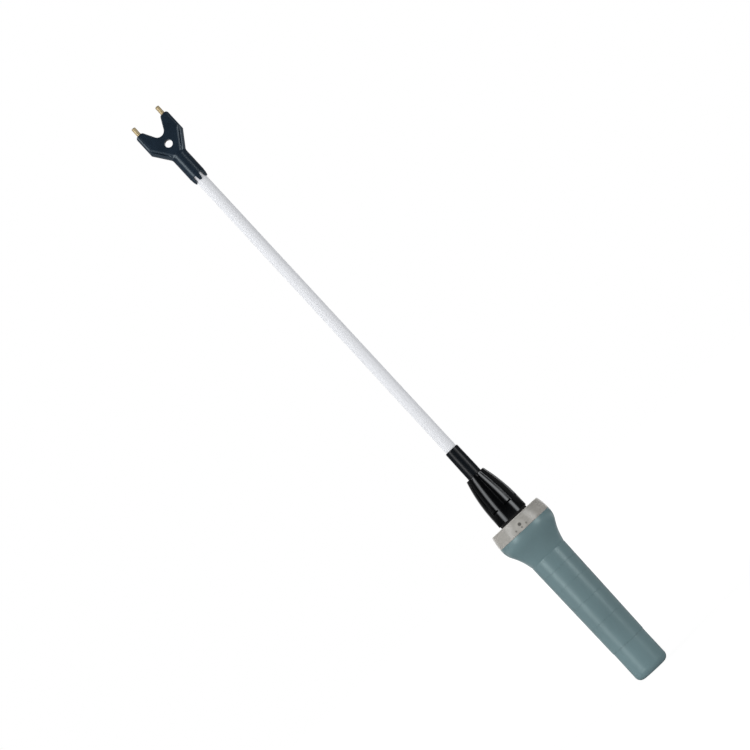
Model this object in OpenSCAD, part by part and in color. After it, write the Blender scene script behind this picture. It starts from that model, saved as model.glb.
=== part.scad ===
// Livestock prod: a cell-powered handle, a spring-loaded shaft and a forked head with two electrodes.
// Millimetres, +Z up along the tool, the origin at the centre of the handle's flat end.
// The fork spreads along X, and its front face looks towards -Y.

/* [Overall] */
// Length from the handle's flat end to the electrode tips
overall_length = 800; // [720:5:900]

/* [Cells] */
// Radius of one round cell
cell_radius = 17.1; // [16.5:0.1:18]
// Length of one cell with its nub
cell_length = 61.5; // [59:0.5:63]
// Radius of a cell's positive nub
nub_radius = 4.75; // [3.5:0.25:6]
// Height of a cell's positive nub
nub_height = 1.8; // [1.2:0.1:2.4]
// Room round a cell in its bore
cell_gap = 0.3; // [0.2:0.05:0.5]

/* [End cap] */
// Length of the end cap
cap_length = 41.1; // [36:0.1:48]
// Thickness of the cap's floor
cap_floor = 5; // [4:0.5:6]
// Wall of the cap
cap_wall = 1.8; // [1.4:0.1:2.6]
// Radius of the cap's rounded lower edge
cap_edge_radius = 7; // [4:0.5:7]
// Wall of the handle's spigot inside the cap
spigot_wall = 1.4; // [1:0.1:2]
// Height of the contact's cup under the spigot
cup_height = 15; // [13:0.5:18]
// Thickness of the seal between cap and handle
gasket_thickness = 0.6; // [0.4:0.1:1.2]

/* [Handle] */
// Length of the barrel above the cells and their contact
bay_length = 23.2; // [20:0.1:45]
// Wall of the barrel at its lower end
barrel_wall = 3.9; // [3.6:0.1:5]
// Growth of the barrel's radius up to the flare
barrel_taper = 1.3; // [0.6:0.1:2]
// Depth of the ring lines
line_depth = 0.35; // [0.2:0.05:0.6]
// Width of the ring lines
line_width = 0.7; // [0.4:0.1:1.2]
// Length of the flared bell
flare_length = 37; // [34:0.5:44]
// Growth of the radius over the flare
flare_width = 11.6; // [10.5:0.1:13]
// Steepest lean of the flare
flare_angle = 31; // [30:1:36]
// Radius of the bell's shoulder
bell_shoulder_radius = 22; // [20:0.5:26]
// Straight length at the bell's mouth
bell_straight = 3; // [1:0.1:4]

/* [Clear ring] */
// Height of the clear ring
ring_height = 16; // [13:0.5:20]
// Radius of the ring's curved side
ring_side_radius = 60; // [50:1:90]
// Radius of the ring's upper edge
ring_edge_radius = 1.6; // [0.8:0.1:2.4]
// Wall of the ring's side below the edge
ring_wall = 5.8; // [4.5:0.1:6.5]
// Thickness of the ring's top
ring_top = 3.5; // [2.5:0.1:5]

/* [Neck and nut] */
// Depth of the bell's mouth down to the hub's flange seat
mouth_depth = 9.2; // [8:0.1:11]
// Thickness of the hub's flange
flange_thickness = 4; // [3.5:0.1:5]
// Thickness of the hub's floor under the spring
floor_thickness = 10; // [8:0.5:12]
// Wall of the neck
neck_wall = 2.7; // [2:0.1:3.5]
// Height of the neck's end above the nut's foot
neck_rise = 24.7; // [22:0.1:28]
// Thickness of the dark washer under the nut
washer_thickness = 2.1; // [1.5:0.1:3]
// Height of the nut
nut_height = 59.7; // [54:0.1:66]
// Wall of the nut round its thread
nut_wall = 4.45; // [4:0.05:5]
// Wall of the nut's mouth
mouth_wall = 3; // [2:0.1:4]
// Number of flutes down the nut's side
flute_count = 6; // [5:1:8]
// Angle that one flute covers
flute_span = 30; // [20:1:36]
// Depth of a flute at its foot
flute_depth = 2.2; // [1.2:0.1:2.4]
// Depth of a flute at the nut's mouth
flute_fade = 0.6; // [0.3:0.1:1]
// Height of the nut's plain foot
nut_foot = 14.4; // [12:0.1:17]
// Height of the slots at the flutes' feet
slot_height = 1.3; // [0.8:0.1:2]
// Length of the plain bush in the nut
bush_length = 5.8; // [5:0.1:8]
// Height of the wiper seal
wiper_height = 4; // [3:0.1:5]

/* [Shaft] */
// Radius of the tube at its foot
shaft_foot_radius = 7; // [6.5:0.05:7.5]
// Radius of the tube at the head
shaft_head_radius = 6.45; // [6:0.05:6.5]
// Radius of the tube's bore
shaft_bore_radius = 4.5; // [4.3:0.05:4.8]
// Wall of the black sleeve
sleeve_wall = 1.55; // [1.2:0.05:2.2]
// Taper of the sleeve's upper part
sleeve_taper = 0.35; // [0.1:0.05:0.5]
// Length of the sleeve above the nut
sleeve_exposed = 36.8; // [30:0.1:60]
// Way that the shaft goes in when the head is pressed
press_travel = 5; // [3:0.5:6]
// Height of the foot's flange
foot_height = 12; // [10:0.5:14]
// Height of the foot's boss inside the spring
boss_height = 12; // [10:0.5:14]
// Rim of the foot outside the sleeve
foot_rim = 2.6; // [2.2:0.1:3.4]

/* [Head] */
// Distance between the two electrodes
electrode_spacing = 34.3; // [32:0.1:40]
// Radius of an electrode
electrode_radius = 2.4; // [2:0.05:2.6]
// Length of the electrodes outside the fork
electrode_exposed = 10.6; // [6:0.1:16]
// Length of the electrodes inside the fork
electrode_seat = 23.4; // [21:0.1:24]
// Width of an arm outside its electrode's axis
arm_side = 5.35; // [4.5:0.05:6]
// Length of the arms' straight sides
arm_length = 25.2; // [23:0.1:30]
// Height of the sloping shoulders
shoulder_height = 18.6; // [17:0.1:24]
// Length of the round stem
stem_length = 36.1; // [30:0.1:50]
// Wall of the stem
stem_wall = 2.9; // [2.2:0.02:3.2]
// Drop of the fork's face below the stem's crest
face_drop = 1.2; // [0.5:0.02:1.4]
// Depth of the notch between the arms
notch_depth = 16.7; // [15:0.1:17.5]
// Radius of the notch's bottom
notch_radius = 7.2; // [6.4:0.1:7.6]
// Lean of the notch's sides
notch_lean = 28; // [24:1:30]
// Radius of the hanging hole
hole_radius = 4.4; // [3.5:0.1:5]
// Distance of the hole's centre below the notch
hole_drop = 11; // [10.5:0.1:12]
// Number of teeth at the stem's end
tooth_count = 6; // [6:2:8]
// Width of the notches between the teeth
tooth_gap = 4.6; // [3.4:0.1:5]
// Depth of the notches between the teeth
tooth_depth = 7.5; // [5:0.1:9]

/* [Fits] */
// Gap between pieces that stay together
fixed_gap = 0.05; // [0.02:0.01:0.1]
// Gap round a shaft in its bush
running_gap = 0.1; // [0.05:0.01:0.1]
// Gap round parts that turn or slide past each other
turning_gap = 0.3; // [0.25:0.05:0.4]
// Gap between a moving part and its stop
seat_gap = 0.2; // [0.1:0.05:0.3]

/* [Hidden] */

$fn = 96;
overrun = 1;
arc_steps = 10;

// Radii of the handle, from the cells outwards
cell_bore = cell_radius + cell_gap;
spigot_radius = cell_bore + spigot_wall;
cap_bore = spigot_radius + turning_gap;
cap_radius = cap_bore + cap_wall;
barrel_low_radius = cell_bore + barrel_wall;
barrel_top_radius = barrel_low_radius + barrel_taper;
bell_radius = barrel_top_radius + flare_width;
bay_step = 1.6;
bay_radius = cell_bore + bay_step;
rim_wall = 3.4;
mouth_radius = bell_radius - rim_wall;
ledge_width = 6.8;
bay_top_radius = mouth_radius - ledge_width;

// Cells and contacts, from the cap's floor upwards
contact_sheet = 0.8;
spring_room = 9.4;
cell_base_z = cap_floor + contact_sheet + spring_room;
bulkhead_z = cell_base_z + 2 * cell_length + contact_sheet;
bulkhead_thickness = 4;
bulkhead_top_z = bulkhead_z + bulkhead_thickness;
cup_wall = 0.7;
strip_width = 6;
strip_thickness = 0.4;
strip_foot = 1.2;
strip_tail = 9;
contact_disc_radius = 7;
rivet_radius = 1.5;

// Heights of the handle, from the flat end upwards
spigot_end_z = cap_floor + cup_height;
barrel_z = cap_length + gasket_thickness;
grip_top_z = bulkhead_top_z + bay_length;
barrel_length = grip_top_z - barrel_z;
rim_z = grip_top_z + flare_length;
ring_top_z = rim_z + ring_height;
nut_z = ring_top_z + washer_thickness;
nut_top_z = nut_z + nut_height;
flange_z = rim_z - mouth_depth;
flange_top_z = flange_z + flange_thickness;
floor_z = flange_z + floor_thickness;
neck_top_z = nut_z + neck_rise;

// Seal ring round the clear ring's lip
seal_wire = 0.65;
seal_radius = mouth_radius - seal_wire - fixed_gap;
seal_z = (flange_top_z + rim_z) / 2;

// Ring lines on the barrel, as shares of its length from the top
line_shares = [0.14, 0.303, 0.504, 0.732];

// The flare is two arcs that meet at its steepest lean
shoulder_drop = bell_shoulder_radius * sin(flare_angle);
bend_z = rim_z - bell_straight - shoulder_drop;
bend_radius = bell_radius - bell_shoulder_radius * (1 - cos(flare_angle));
start_angle = 2 * atan2(bend_radius - barrel_top_radius, bend_z - grip_top_z) - flare_angle;
flare_radius = (bend_z - grip_top_z) / (sin(flare_angle) - sin(start_angle));
bay_neck_z = grip_top_z;
bay_wide_z = rim_z - bell_straight - shoulder_drop / 2 - ledge_width / 2;

// Shaft, foot and neck, from the axis outwards
sleeve_radius = shaft_foot_radius + fixed_gap + sleeve_wall;
foot_radius = sleeve_radius + foot_rim;
neck_bore = foot_radius + turning_gap;
neck_radius = neck_bore + neck_wall;
nut_bore = neck_radius + turning_gap;
nut_radius = nut_bore + nut_wall;
mouth_bore = sleeve_radius + turning_gap;
nut_mouth_radius = mouth_bore + mouth_wall;
foot_floor_inset = 1;
boss_radius = sleeve_radius - foot_floor_inset;
wire_radius = 0.9;
pin_radius = 0.95;
pin_clear = 0.4;
pin_offset = shaft_bore_radius - wire_radius - pin_clear;
foot_floor = 6;
foot_floor_z = neck_top_z - foot_floor;
foot_z = neck_top_z - foot_height;
boss_z = foot_z - boss_height;
pin_seat = 14;
pin_top_z = boss_z + pin_seat;
socket_wall = 0.55;
socket_bore = pin_radius + running_gap;
socket_radius = socket_bore + socket_wall;
socket_clear = 3;
socket_top_z = boss_z - press_travel - socket_clear;
pin_grip = 6;
pin_tip_z = socket_top_z - pin_grip;
tip_clear = 1;
board_drop = 4;
board_top_z = flange_z - board_drop;

// Spring of the shaft
press_spring_wire = 0.7;
press_spring_radius = (neck_bore + boss_radius) / 2;
press_spring_turns = 7;
press_spring_z = floor_z + seat_gap;
press_spring_length = foot_z - floor_z - 2 * seat_gap;

// Switch beside the sockets
switch_bush_radius = 3;
switch_bush_wall = 1.3;
switch_body_radius = 4.2;
switch_body_length = 10;
switch_clear = 4;
switch_inset = 0.5;
switch_y = boss_radius - switch_bush_radius + switch_inset;
switch_top_z = boss_z - press_travel - switch_clear;
button_radius = switch_bush_radius - switch_bush_wall - running_gap;
button_top_z = boss_z - turning_gap;
button_sunk = 8;
button_z = switch_top_z - button_sunk;

// Nut: the side is an arc from the foot to the mouth, cut by flutes that end above the foot
nut_foot_edge = 0.5;
nut_arc_start_share = 0.74;
nut_arc_z = nut_z + nut_foot * nut_arc_start_share;
nut_arc_height = nut_top_z - nut_arc_z;
nut_arc_depth = nut_radius - nut_mouth_radius;
nut_arc_radius = (nut_arc_height * nut_arc_height + nut_arc_depth * nut_arc_depth) / (2 * nut_arc_depth);
nut_steps = 12;
flute_turn = 20.5;
nut_mouth_edge = 1;
slot_floor_wall = 1.2;
nut_slot_z = nut_z + nut_foot;
bush_z = neck_top_z + seat_gap;
bush_top_z = bush_z + bush_length;
wiper_rim = 3;
wiper_radius = mouth_bore + wiper_rim - turning_gap;

// Screws
screw_radius = 1.3;
screw_head_radius = 2.6;
screw_head_height = 2;
screw_grip = 5.5;
hub_screw_count = 3;
hub_screw_ring = (bay_top_radius + mouth_radius) / 2 - screw_head_height / 2;
head_screw_grip = 4.5;

// Lamp behind the front of the clear ring
led_radius = 2.5;
led_rim = 0.4;
led_rim_thickness = 1;
led_body_length = 6;
led_lead_radius = 0.25;
led_lead_pitch = 2.54;
led_lead_back = 2;
led_holder_width = 8;
led_height_share = 0.31;
led_z = rim_z + ring_height * led_height_share;
ring_bore = bell_radius - ring_wall;
led_dome_y = led_radius + turning_gap - ring_bore;
led_base_y = led_dome_y + led_body_length;
led_lead_y = led_base_y + led_rim_thickness + led_lead_back;
led_holder_top = 1.5;

// Board and what it carries
board_half_width = 16;
board_thickness = 1.6;
part_gap = 0.1;
core_width = 20;
core_depth = 8;
core_leg = 5;
core_yoke = 4;
core_window = 4.5;
core_lift = 8;
core_z = bulkhead_top_z + core_lift;
coil_wall = 3;
core_y = -board_thickness / 2 - coil_wall - core_depth / 2 - part_gap;
capacitor_radius = 5;
capacitor_length = 20;
capacitor_x = -7;
transistor_width = 10;
transistor_depth = 4.6;
transistor_height = 16;
tab_height = 6;
tab_depth = 1.3;
transistor_x = 7;

// Head, from the tips downwards
tip_z = overall_length;
arm_end_z = tip_z - electrode_exposed;
electrode_z = arm_end_z - electrode_seat;
shoulder_top_z = arm_end_z - arm_length;
shoulder_z = shoulder_top_z - shoulder_height;
stem_end_z = shoulder_z - stem_length;
electrode_x = electrode_spacing / 2;
arm_half = electrode_x + arm_side;
tube_rise = 1.5;
tube_top_z = shoulder_z + tube_rise;
stem_radius = shaft_head_radius + fixed_gap + stem_wall;
face_depth = stem_radius - face_drop;
stem_run = 6;
shoulder_tuck = 0.6;
tooth_taper = 0.9;
tooth_taper_length = 5;
inner_corner_radius = 3;
outer_corner_radius = 3.2;
notch_z = arm_end_z - notch_depth;
notch_centre_z = notch_z + notch_radius;
hole_z = notch_z - hole_drop;
hole_boss_wall = 2.2;
hole_boss_radius = hole_radius + hole_boss_wall;
bevel_width = 3.6;
bevel_depth = 2.4;
collar_rim = 1;
collar_height = 3;
collar_lift = 7;
lead_rise = 1;
lead_bend_z = tube_top_z + lead_rise;
lead_straight = 3;
channel_gap = 0.5;
lead_top_z = electrode_z - lead_straight;
lead_gap = 0.15;
lead_ease = 1.5;
channel_radius = wire_radius + channel_gap;
fan_height = lead_rise + wire_radius;
head_screw_share = 0.55;
head_screw_x = electrode_x * head_screw_share;
head_screw_lift = 4;
head_screw_z = electrode_z + head_screw_lift;
low_screw_lift = 3.3;
low_screw_z = tube_top_z + low_screw_lift;

// Radius of the tapered tube at a height
function tube_radius(z) = shaft_foot_radius
    + (shaft_head_radius - shaft_foot_radius) * (z - foot_floor_z) / (tube_top_z - foot_floor_z);

// Points along an arc, angles in degrees
function arc(centre, radius, from, to) = [for (i = [0:arc_steps])
    let (angle = from + (to - from) * i / arc_steps) centre + radius * [cos(angle), sin(angle)]];

// Height along a coil whose end turns lie close
close_share = 0.7;
function coil_rise(share) = share - close_share * sin(360 * share) / (2 * PI);

// Faces of a closed tube of rings, each ring's points running anticlockwise round the way along the tube
function tube_faces(rings, sides) = concat(
    [for (i = [0:rings - 2]) for (j = [0:sides - 1]) let (k = (j + 1) % sides, a = i * sides)
        each [[a + j, a + sides + j, a + k], [a + k, a + sides + j, a + sides + k]]],
    [for (j = [1:sides - 2]) [0, j, j + 1]],
    [for (j = [1:sides - 2]) let (top = (rings - 1) * sides) [top, top + j + 1, top + j]]);

// Cylinder between two points
module rod(from, to, radius) {
    way = to - from;
    translate(from) rotate([0, acos(way.z / norm(way)), atan2(way.y, way.x)]) cylinder(r = radius, h = norm(way));
}

// Spring wound upwards from the plane of its lower turn, its radius changing evenly
module coil(low_radius, top_radius, wire, length, turns) {
    sides = 6;
    rings = 10 * turns;
    rise = length - 2 * wire;
    points = [for (i = [0:rings]) for (j = [0:sides - 1])
        let (share = i / rings, turn = 360 * turns * share, spin = 360 * j / sides,
            reach = low_radius + (top_radius - low_radius) * share + wire * cos(spin))
        [reach * cos(turn), reach * sin(turn), wire + rise * coil_rise(share) - wire * sin(spin)]];
    polyhedron(points, tube_faces(rings + 1, sides));
}

// Ring of square section
module collar(inner, outer, height) {
    difference() {
        cylinder(r = outer, h = height);
        translate([0, 0, -overrun]) cylinder(r = inner, h = height + 2 * overrun);
    }
}

// Screw with its head's top at the origin, pointing down
module screw(grip) {
    translate([0, 0, -screw_head_height]) cylinder(r = screw_head_radius, h = screw_head_height);
    translate([0, 0, -screw_head_height - grip]) cylinder(r = screw_radius, h = grip);
}

// Room for a screw, open above its head
module screw_room(grip) {
    translate([0, 0, -screw_head_height]) cylinder(r = screw_head_radius + running_gap, h = screw_head_height + overrun);
    translate([0, 0, -screw_head_height - grip - running_gap])
        cylinder(r = screw_radius + fixed_gap, h = grip + screw_head_height);
}

module end_cap() {
    low = cap_radius - cap_edge_radius;
    color([0.42, 0.51, 0.53]) rotate_extrude() polygon(concat([[0, 0]],
        arc([low, cap_edge_radius], cap_edge_radius, -90, 0),
        [[cap_radius, cap_length], [cap_bore, cap_length], [cap_bore, cap_floor], [0, cap_floor]]));
}

module cap_contact() {
    outer = cap_bore - turning_gap;
    top = spigot_end_z - strip_thickness - seat_gap;
    color([0.80, 0.66, 0.36]) translate([0, 0, cap_floor]) union() {
        cylinder(r = outer, h = contact_sheet);
        collar(outer - cup_wall, outer, top - cap_floor);
    }
}

module battery_spring() {
    wire = 0.6;
    low_radius = 12;
    top_radius = 6;
    turns = 4;
    color([0.72, 0.73, 0.75]) translate([0, 0, cap_floor + contact_sheet + fixed_gap])
        coil(low_radius, top_radius, wire, spring_room - fixed_gap - seat_gap, turns);
}

module cap_gasket() {
    color([0.10, 0.10, 0.10]) translate([0, 0, cap_length])
        collar(spigot_radius + fixed_gap, cap_radius - fixed_gap, gasket_thickness);
}

module handle_shell() {
    outside = concat(
        [[spigot_radius, spigot_end_z], [spigot_radius, barrel_z], [barrel_low_radius, barrel_z]],
        arc([barrel_top_radius + flare_radius * cos(start_angle),
            grip_top_z - flare_radius * sin(start_angle)], flare_radius, 180 - start_angle, 180 - flare_angle),
        arc([bell_radius - bell_shoulder_radius, rim_z - bell_straight], bell_shoulder_radius, -flare_angle, 0),
        [[bell_radius, rim_z]]);
    inside = [[mouth_radius, rim_z], [mouth_radius, flange_z], [bay_top_radius, flange_z],
        [bay_top_radius, bay_wide_z], [bay_radius, bay_neck_z], [bay_radius, bulkhead_z],
        [cell_bore, bulkhead_z], [cell_bore, spigot_end_z]];
    color([0.42, 0.51, 0.53]) difference() {
        rotate_extrude() polygon(concat(outside, inside));
        for (share = line_shares)
            ring_line(grip_top_z - barrel_length * share, barrel_top_radius - barrel_taper * share);
        strip_room();
        hub_screw_places() screw_room(screw_grip + flange_thickness - screw_head_height);
    }
}

module ring_line(z, radius) {
    translate([0, 0, z - line_width / 2]) collar(radius - line_depth, radius + overrun, line_width);
}

module strip_room() {
    room = strip_thickness + running_gap;
    translate([-strip_width / 2 - running_gap, cell_bore - overrun, spigot_end_z - overrun])
        cube([strip_width + 2 * running_gap, overrun + room, bulkhead_z - spigot_end_z + 2 * overrun]);
}

module hub_screw_places() {
    for (i = [0:hub_screw_count - 1]) rotate(90 + 360 * i / hub_screw_count)
        translate([hub_screw_ring, 0, flange_top_z]) children();
}

module cell(z) {
    color([0.25, 0.25, 0.27]) translate([0, 0, z]) union() {
        cylinder(r = cell_radius, h = cell_length - nub_height);
        cylinder(r = nub_radius, h = cell_length);
    }
}

module battery_lower() { cell(cell_base_z); }

module battery_upper() { cell(cell_base_z + cell_length); }

module negative_strip() {
    color([0.80, 0.66, 0.36]) union() {
        translate([-strip_width / 2, cell_bore + fixed_gap, spigot_end_z - strip_thickness])
            cube([strip_width, strip_thickness, bulkhead_top_z + strip_tail - spigot_end_z + strip_thickness]);
        translate([-strip_width / 2, cell_bore + fixed_gap, spigot_end_z - strip_thickness - fixed_gap])
            cube([strip_width, strip_foot, strip_thickness]);
    }
}

module contact_bulkhead() {
    notch = strip_thickness + fixed_gap + running_gap;
    color([0.75, 0.74, 0.70]) translate([0, 0, bulkhead_z]) difference() {
        cylinder(r = bay_radius - running_gap, h = bulkhead_thickness);
        translate([0, 0, -overrun])
            cylinder(r = rivet_radius + fixed_gap, h = bulkhead_thickness + 2 * overrun);
        translate([-strip_width / 2 - running_gap, cell_bore - running_gap, -overrun])
            cube([strip_width + 2 * running_gap, bay_step + notch, bulkhead_thickness + 2 * overrun]);
    }
}

module positive_contact() {
    color([0.80, 0.66, 0.36]) translate([0, 0, bulkhead_z - contact_sheet]) union() {
        cylinder(r = contact_disc_radius, h = contact_sheet);
        cylinder(r = rivet_radius, h = contact_sheet + bulkhead_thickness);
    }
}

module circuit_board() {
    color([0.10, 0.36, 0.20]) translate([-board_half_width, -board_thickness / 2, bulkhead_top_z])
        cube([2 * board_half_width, board_thickness, board_top_z - bulkhead_top_z]);
}

module transformer_core() {
    color([0.16, 0.16, 0.17]) translate([0, core_y, core_z]) difference() {
        translate([-core_width / 2, -core_depth / 2, 0]) cube([core_width, core_depth, core_width]);
        for (side = [-1, 1]) translate([side * (core_leg + core_window) / 2, 0, core_width / 2])
            cube([core_window, core_depth + 2 * overrun, core_width - 2 * core_yoke], center = true);
    }
}

module transformer_coil() {
    height = core_width - 2 * core_yoke - 2 * part_gap;
    color([0.62, 0.36, 0.18]) translate([0, core_y, core_z + core_width / 2]) difference() {
        cube([core_leg + 2 * core_window - 2 * part_gap, core_depth + 2 * coil_wall, height], center = true);
        cube([core_leg + 2 * fixed_gap, core_depth + 2 * fixed_gap, height + 2 * overrun], center = true);
    }
}

module capacitor() {
    color([0.12, 0.20, 0.42])
        translate([capacitor_x, board_thickness / 2 + part_gap + capacitor_radius, core_z])
        cylinder(r = capacitor_radius, h = capacitor_length);
}

module power_transistor() {
    color([0.13, 0.13, 0.14])
        translate([transistor_x - transistor_width / 2, board_thickness / 2 + part_gap, core_z]) union() {
        cube([transistor_width, transistor_depth, transistor_height - tab_height]);
        cube([transistor_width, tab_depth, transistor_height]);
    }
}

module neck_hub() {
    color([0.16, 0.17, 0.18]) difference() {
        union() {
            translate([0, 0, flange_z]) cylinder(r = mouth_radius - 2 * running_gap, h = flange_thickness);
            translate([0, 0, flange_z]) cylinder(r = neck_radius, h = neck_top_z - flange_z);
        }
        translate([0, 0, floor_z]) cylinder(r = neck_bore, h = neck_top_z - floor_z + overrun);
        for (side = [-1, 1]) translate([side * pin_offset, 0, flange_z - overrun])
            cylinder(r = socket_radius + fixed_gap, h = floor_thickness + 2 * overrun);
        translate([0, switch_y, flange_z - overrun])
            cylinder(r = switch_bush_radius + fixed_gap, h = floor_thickness + 2 * overrun);
        for (side = [-1, 1]) translate([side * led_lead_pitch / 2, led_lead_y, flange_z - overrun])
            cylinder(r = led_lead_radius + lead_gap, h = flange_thickness + 2 * overrun);
        hub_screw_places() screw_room(screw_grip + flange_thickness - screw_head_height);
    }
}

module hub_screws() {
    color([0.72, 0.73, 0.75]) hub_screw_places() screw(screw_grip + flange_thickness - screw_head_height);
}

module clear_ring() {
    lip = mouth_radius - 2 * running_gap;
    lean = asin((ring_height - ring_edge_radius) / ring_side_radius);
    edge = bell_radius - ring_side_radius * (1 - cos(lean));
    seal = seal_wire + fixed_gap;
    color([0.72, 0.72, 0.69]) difference() {
        rotate_extrude() polygon(concat(
            arc([bell_radius - ring_side_radius, rim_z], ring_side_radius, 0, lean),
            arc([edge - ring_edge_radius, ring_top_z - ring_edge_radius], ring_edge_radius, lean, 90),
            [[neck_radius + turning_gap, ring_top_z], [neck_radius + turning_gap, ring_top_z - ring_top],
                [ring_bore, ring_top_z - ring_top], [ring_bore, flange_top_z + seat_gap],
                [lip, flange_top_z + seat_gap], [lip, rim_z]]));
        translate([0, 0, seal_z - seal]) collar(seal_radius - seal, mouth_radius + overrun, 2 * seal);
    }
}

module ring_seal() {
    color([0.10, 0.10, 0.10]) translate([0, 0, seal_z]) rotate_extrude()
        translate([seal_radius, 0]) circle(r = seal_wire, $fn = 32);
}

module led_holder() {
    color([0.85, 0.85, 0.83]) difference() {
        translate([-led_holder_width / 2, led_dome_y, flange_top_z])
            cube([led_holder_width, led_base_y - led_dome_y, led_z - flange_top_z + led_radius + led_holder_top]);
        translate([0, led_dome_y - overrun, led_z]) rotate([-90, 0, 0])
            cylinder(r = led_radius + fixed_gap, h = led_body_length + 2 * overrun);
    }
}

module indicator_led() {
    color([0.80, 0.25, 0.20]) translate([0, led_base_y, led_z]) rotate([90, 0, 0]) union() {
        translate([0, 0, -led_rim_thickness]) cylinder(r = led_radius + led_rim, h = led_rim_thickness);
        cylinder(r = led_radius, h = led_body_length);
        translate([0, 0, led_body_length]) sphere(r = led_radius);
    }
}

module led_leads() {
    for (side = [-1, 1]) {
        x = side * led_lead_pitch / 2;
        color([0.72, 0.73, 0.75]) union() {
            rod([x, led_base_y + led_rim_thickness, led_z], [x, led_lead_y, led_z], led_lead_radius);
            translate([x, led_lead_y, led_z]) sphere(r = led_lead_radius);
            rod([x, led_lead_y, board_top_z], [x, led_lead_y, led_z], led_lead_radius);
        }
    }
}

module contact_sockets() {
    bore_z = pin_tip_z - press_travel - tip_clear;
    color([0.80, 0.66, 0.36]) for (side = [-1, 1]) translate([side * pin_offset, 0, 0]) difference() {
        translate([0, 0, board_top_z]) cylinder(r = socket_radius, h = socket_top_z - board_top_z);
        translate([0, 0, bore_z]) cylinder(r = socket_bore, h = socket_top_z - bore_z + overrun);
    }
}

module press_switch() {
    bore_z = button_z - press_travel - tip_clear;
    color([0.12, 0.12, 0.13]) translate([0, switch_y, 0]) difference() {
        union() {
            translate([0, 0, flange_z - switch_body_length])
                cylinder(r = switch_body_radius, h = switch_body_length);
            translate([0, 0, flange_z]) cylinder(r = switch_bush_radius, h = switch_top_z - flange_z);
        }
        translate([0, 0, bore_z]) cylinder(r = button_radius + running_gap, h = switch_top_z - bore_z + overrun);
    }
}

module switch_button() {
    color([0.75, 0.12, 0.10]) translate([0, switch_y, button_z])
        cylinder(r = button_radius, h = button_top_z - button_z);
}

module press_spring() {
    color([0.72, 0.73, 0.75]) translate([0, 0, press_spring_z])
        coil(press_spring_radius, press_spring_radius, press_spring_wire, press_spring_length, press_spring_turns);
}

module collar_washer() {
    inset = 1.2;
    color([0.08, 0.08, 0.08]) translate([0, 0, ring_top_z])
        collar(neck_radius + turning_gap, nut_radius - inset, washer_thickness);
}

// Reach of the nut's side at a height
function nut_reach(z) = nut_radius - nut_arc_radius + sqrt(pow(nut_arc_radius, 2) - pow(z - nut_arc_z, 2));

// Reach of a flute's floor at a height
function flute_reach(z) = nut_reach(z) - flute_depth
    + (flute_depth - flute_fade) * (z - nut_slot_z) / (nut_top_z - nut_slot_z);

module collar_nut() {
    slot_floor = nut_bore + slot_floor_wall;
    outside = nut_radius + overrun;
    edge_z = nut_top_z - nut_mouth_edge;
    side = [for (i = [0:nut_steps]) let (z = nut_arc_z + (edge_z - nut_arc_z) * i / nut_steps) [nut_reach(z), z]];
    flute = [for (i = [0:nut_steps]) let (z = nut_slot_z + (nut_top_z - nut_slot_z) * i / nut_steps)
        [flute_reach(z), z]];
    color([0.05, 0.05, 0.06]) difference() {
        rotate_extrude() polygon(concat([[0, nut_z], [nut_radius - nut_foot_edge, nut_z],
            [nut_radius, nut_z + nut_foot_edge]], side,
            [[nut_mouth_radius - nut_mouth_edge, nut_top_z], [0, nut_top_z]]));
        translate([0, 0, nut_z - overrun]) cylinder(r = nut_bore, h = bush_top_z + seat_gap - nut_z + overrun);
        translate([0, 0, bush_top_z]) cylinder(r = wiper_radius + turning_gap, h = wiper_height + seat_gap);
        translate([0, 0, bush_top_z]) cylinder(r = mouth_bore, h = nut_top_z - bush_top_z + overrun);
        for (i = [0:flute_count - 1]) rotate(flute_turn - 90 + 360 * i / flute_count - flute_span / 2) {
            rotate_extrude(angle = flute_span) polygon(concat(flute,
                [[flute[nut_steps][0], nut_top_z + overrun], [outside, nut_top_z + overrun], [outside, nut_slot_z]]));
            rotate_extrude(angle = flute_span)
                translate([slot_floor, nut_slot_z]) square([outside - slot_floor, slot_height]);
        }
    }
}

module nose_bush() {
    color([0.85, 0.84, 0.80]) translate([0, 0, bush_z])
        collar(sleeve_radius + running_gap, nut_bore - turning_gap, bush_length);
}

module wiper_seal() {
    color([0.10, 0.10, 0.10]) translate([0, 0, bush_top_z])
        collar(sleeve_radius + running_gap, wiper_radius, wiper_height);
}

module plunger_foot() {
    color([0.85, 0.84, 0.80]) difference() {
        union() {
            translate([0, 0, foot_z]) cylinder(r = foot_radius, h = foot_height);
            translate([0, 0, boss_z]) cylinder(r = boss_radius, h = boss_height);
        }
        translate([0, 0, foot_floor_z]) cylinder(r = sleeve_radius + fixed_gap, h = foot_floor + overrun);
        for (side = [-1, 1]) translate([side * pin_offset, 0, 0]) {
            translate([0, 0, boss_z - overrun]) cylinder(r = pin_radius + fixed_gap, h = pin_seat + overrun);
            translate([0, 0, pin_top_z - overrun])
                cylinder(r = wire_radius + fixed_gap, h = foot_floor_z - pin_top_z + 2 * overrun);
        }
    }
}

module contact_pins() {
    color([0.80, 0.66, 0.36]) for (side = [-1, 1]) translate([side * pin_offset, 0, pin_tip_z])
        cylinder(r = pin_radius, h = pin_top_z - pin_tip_z);
}

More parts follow.
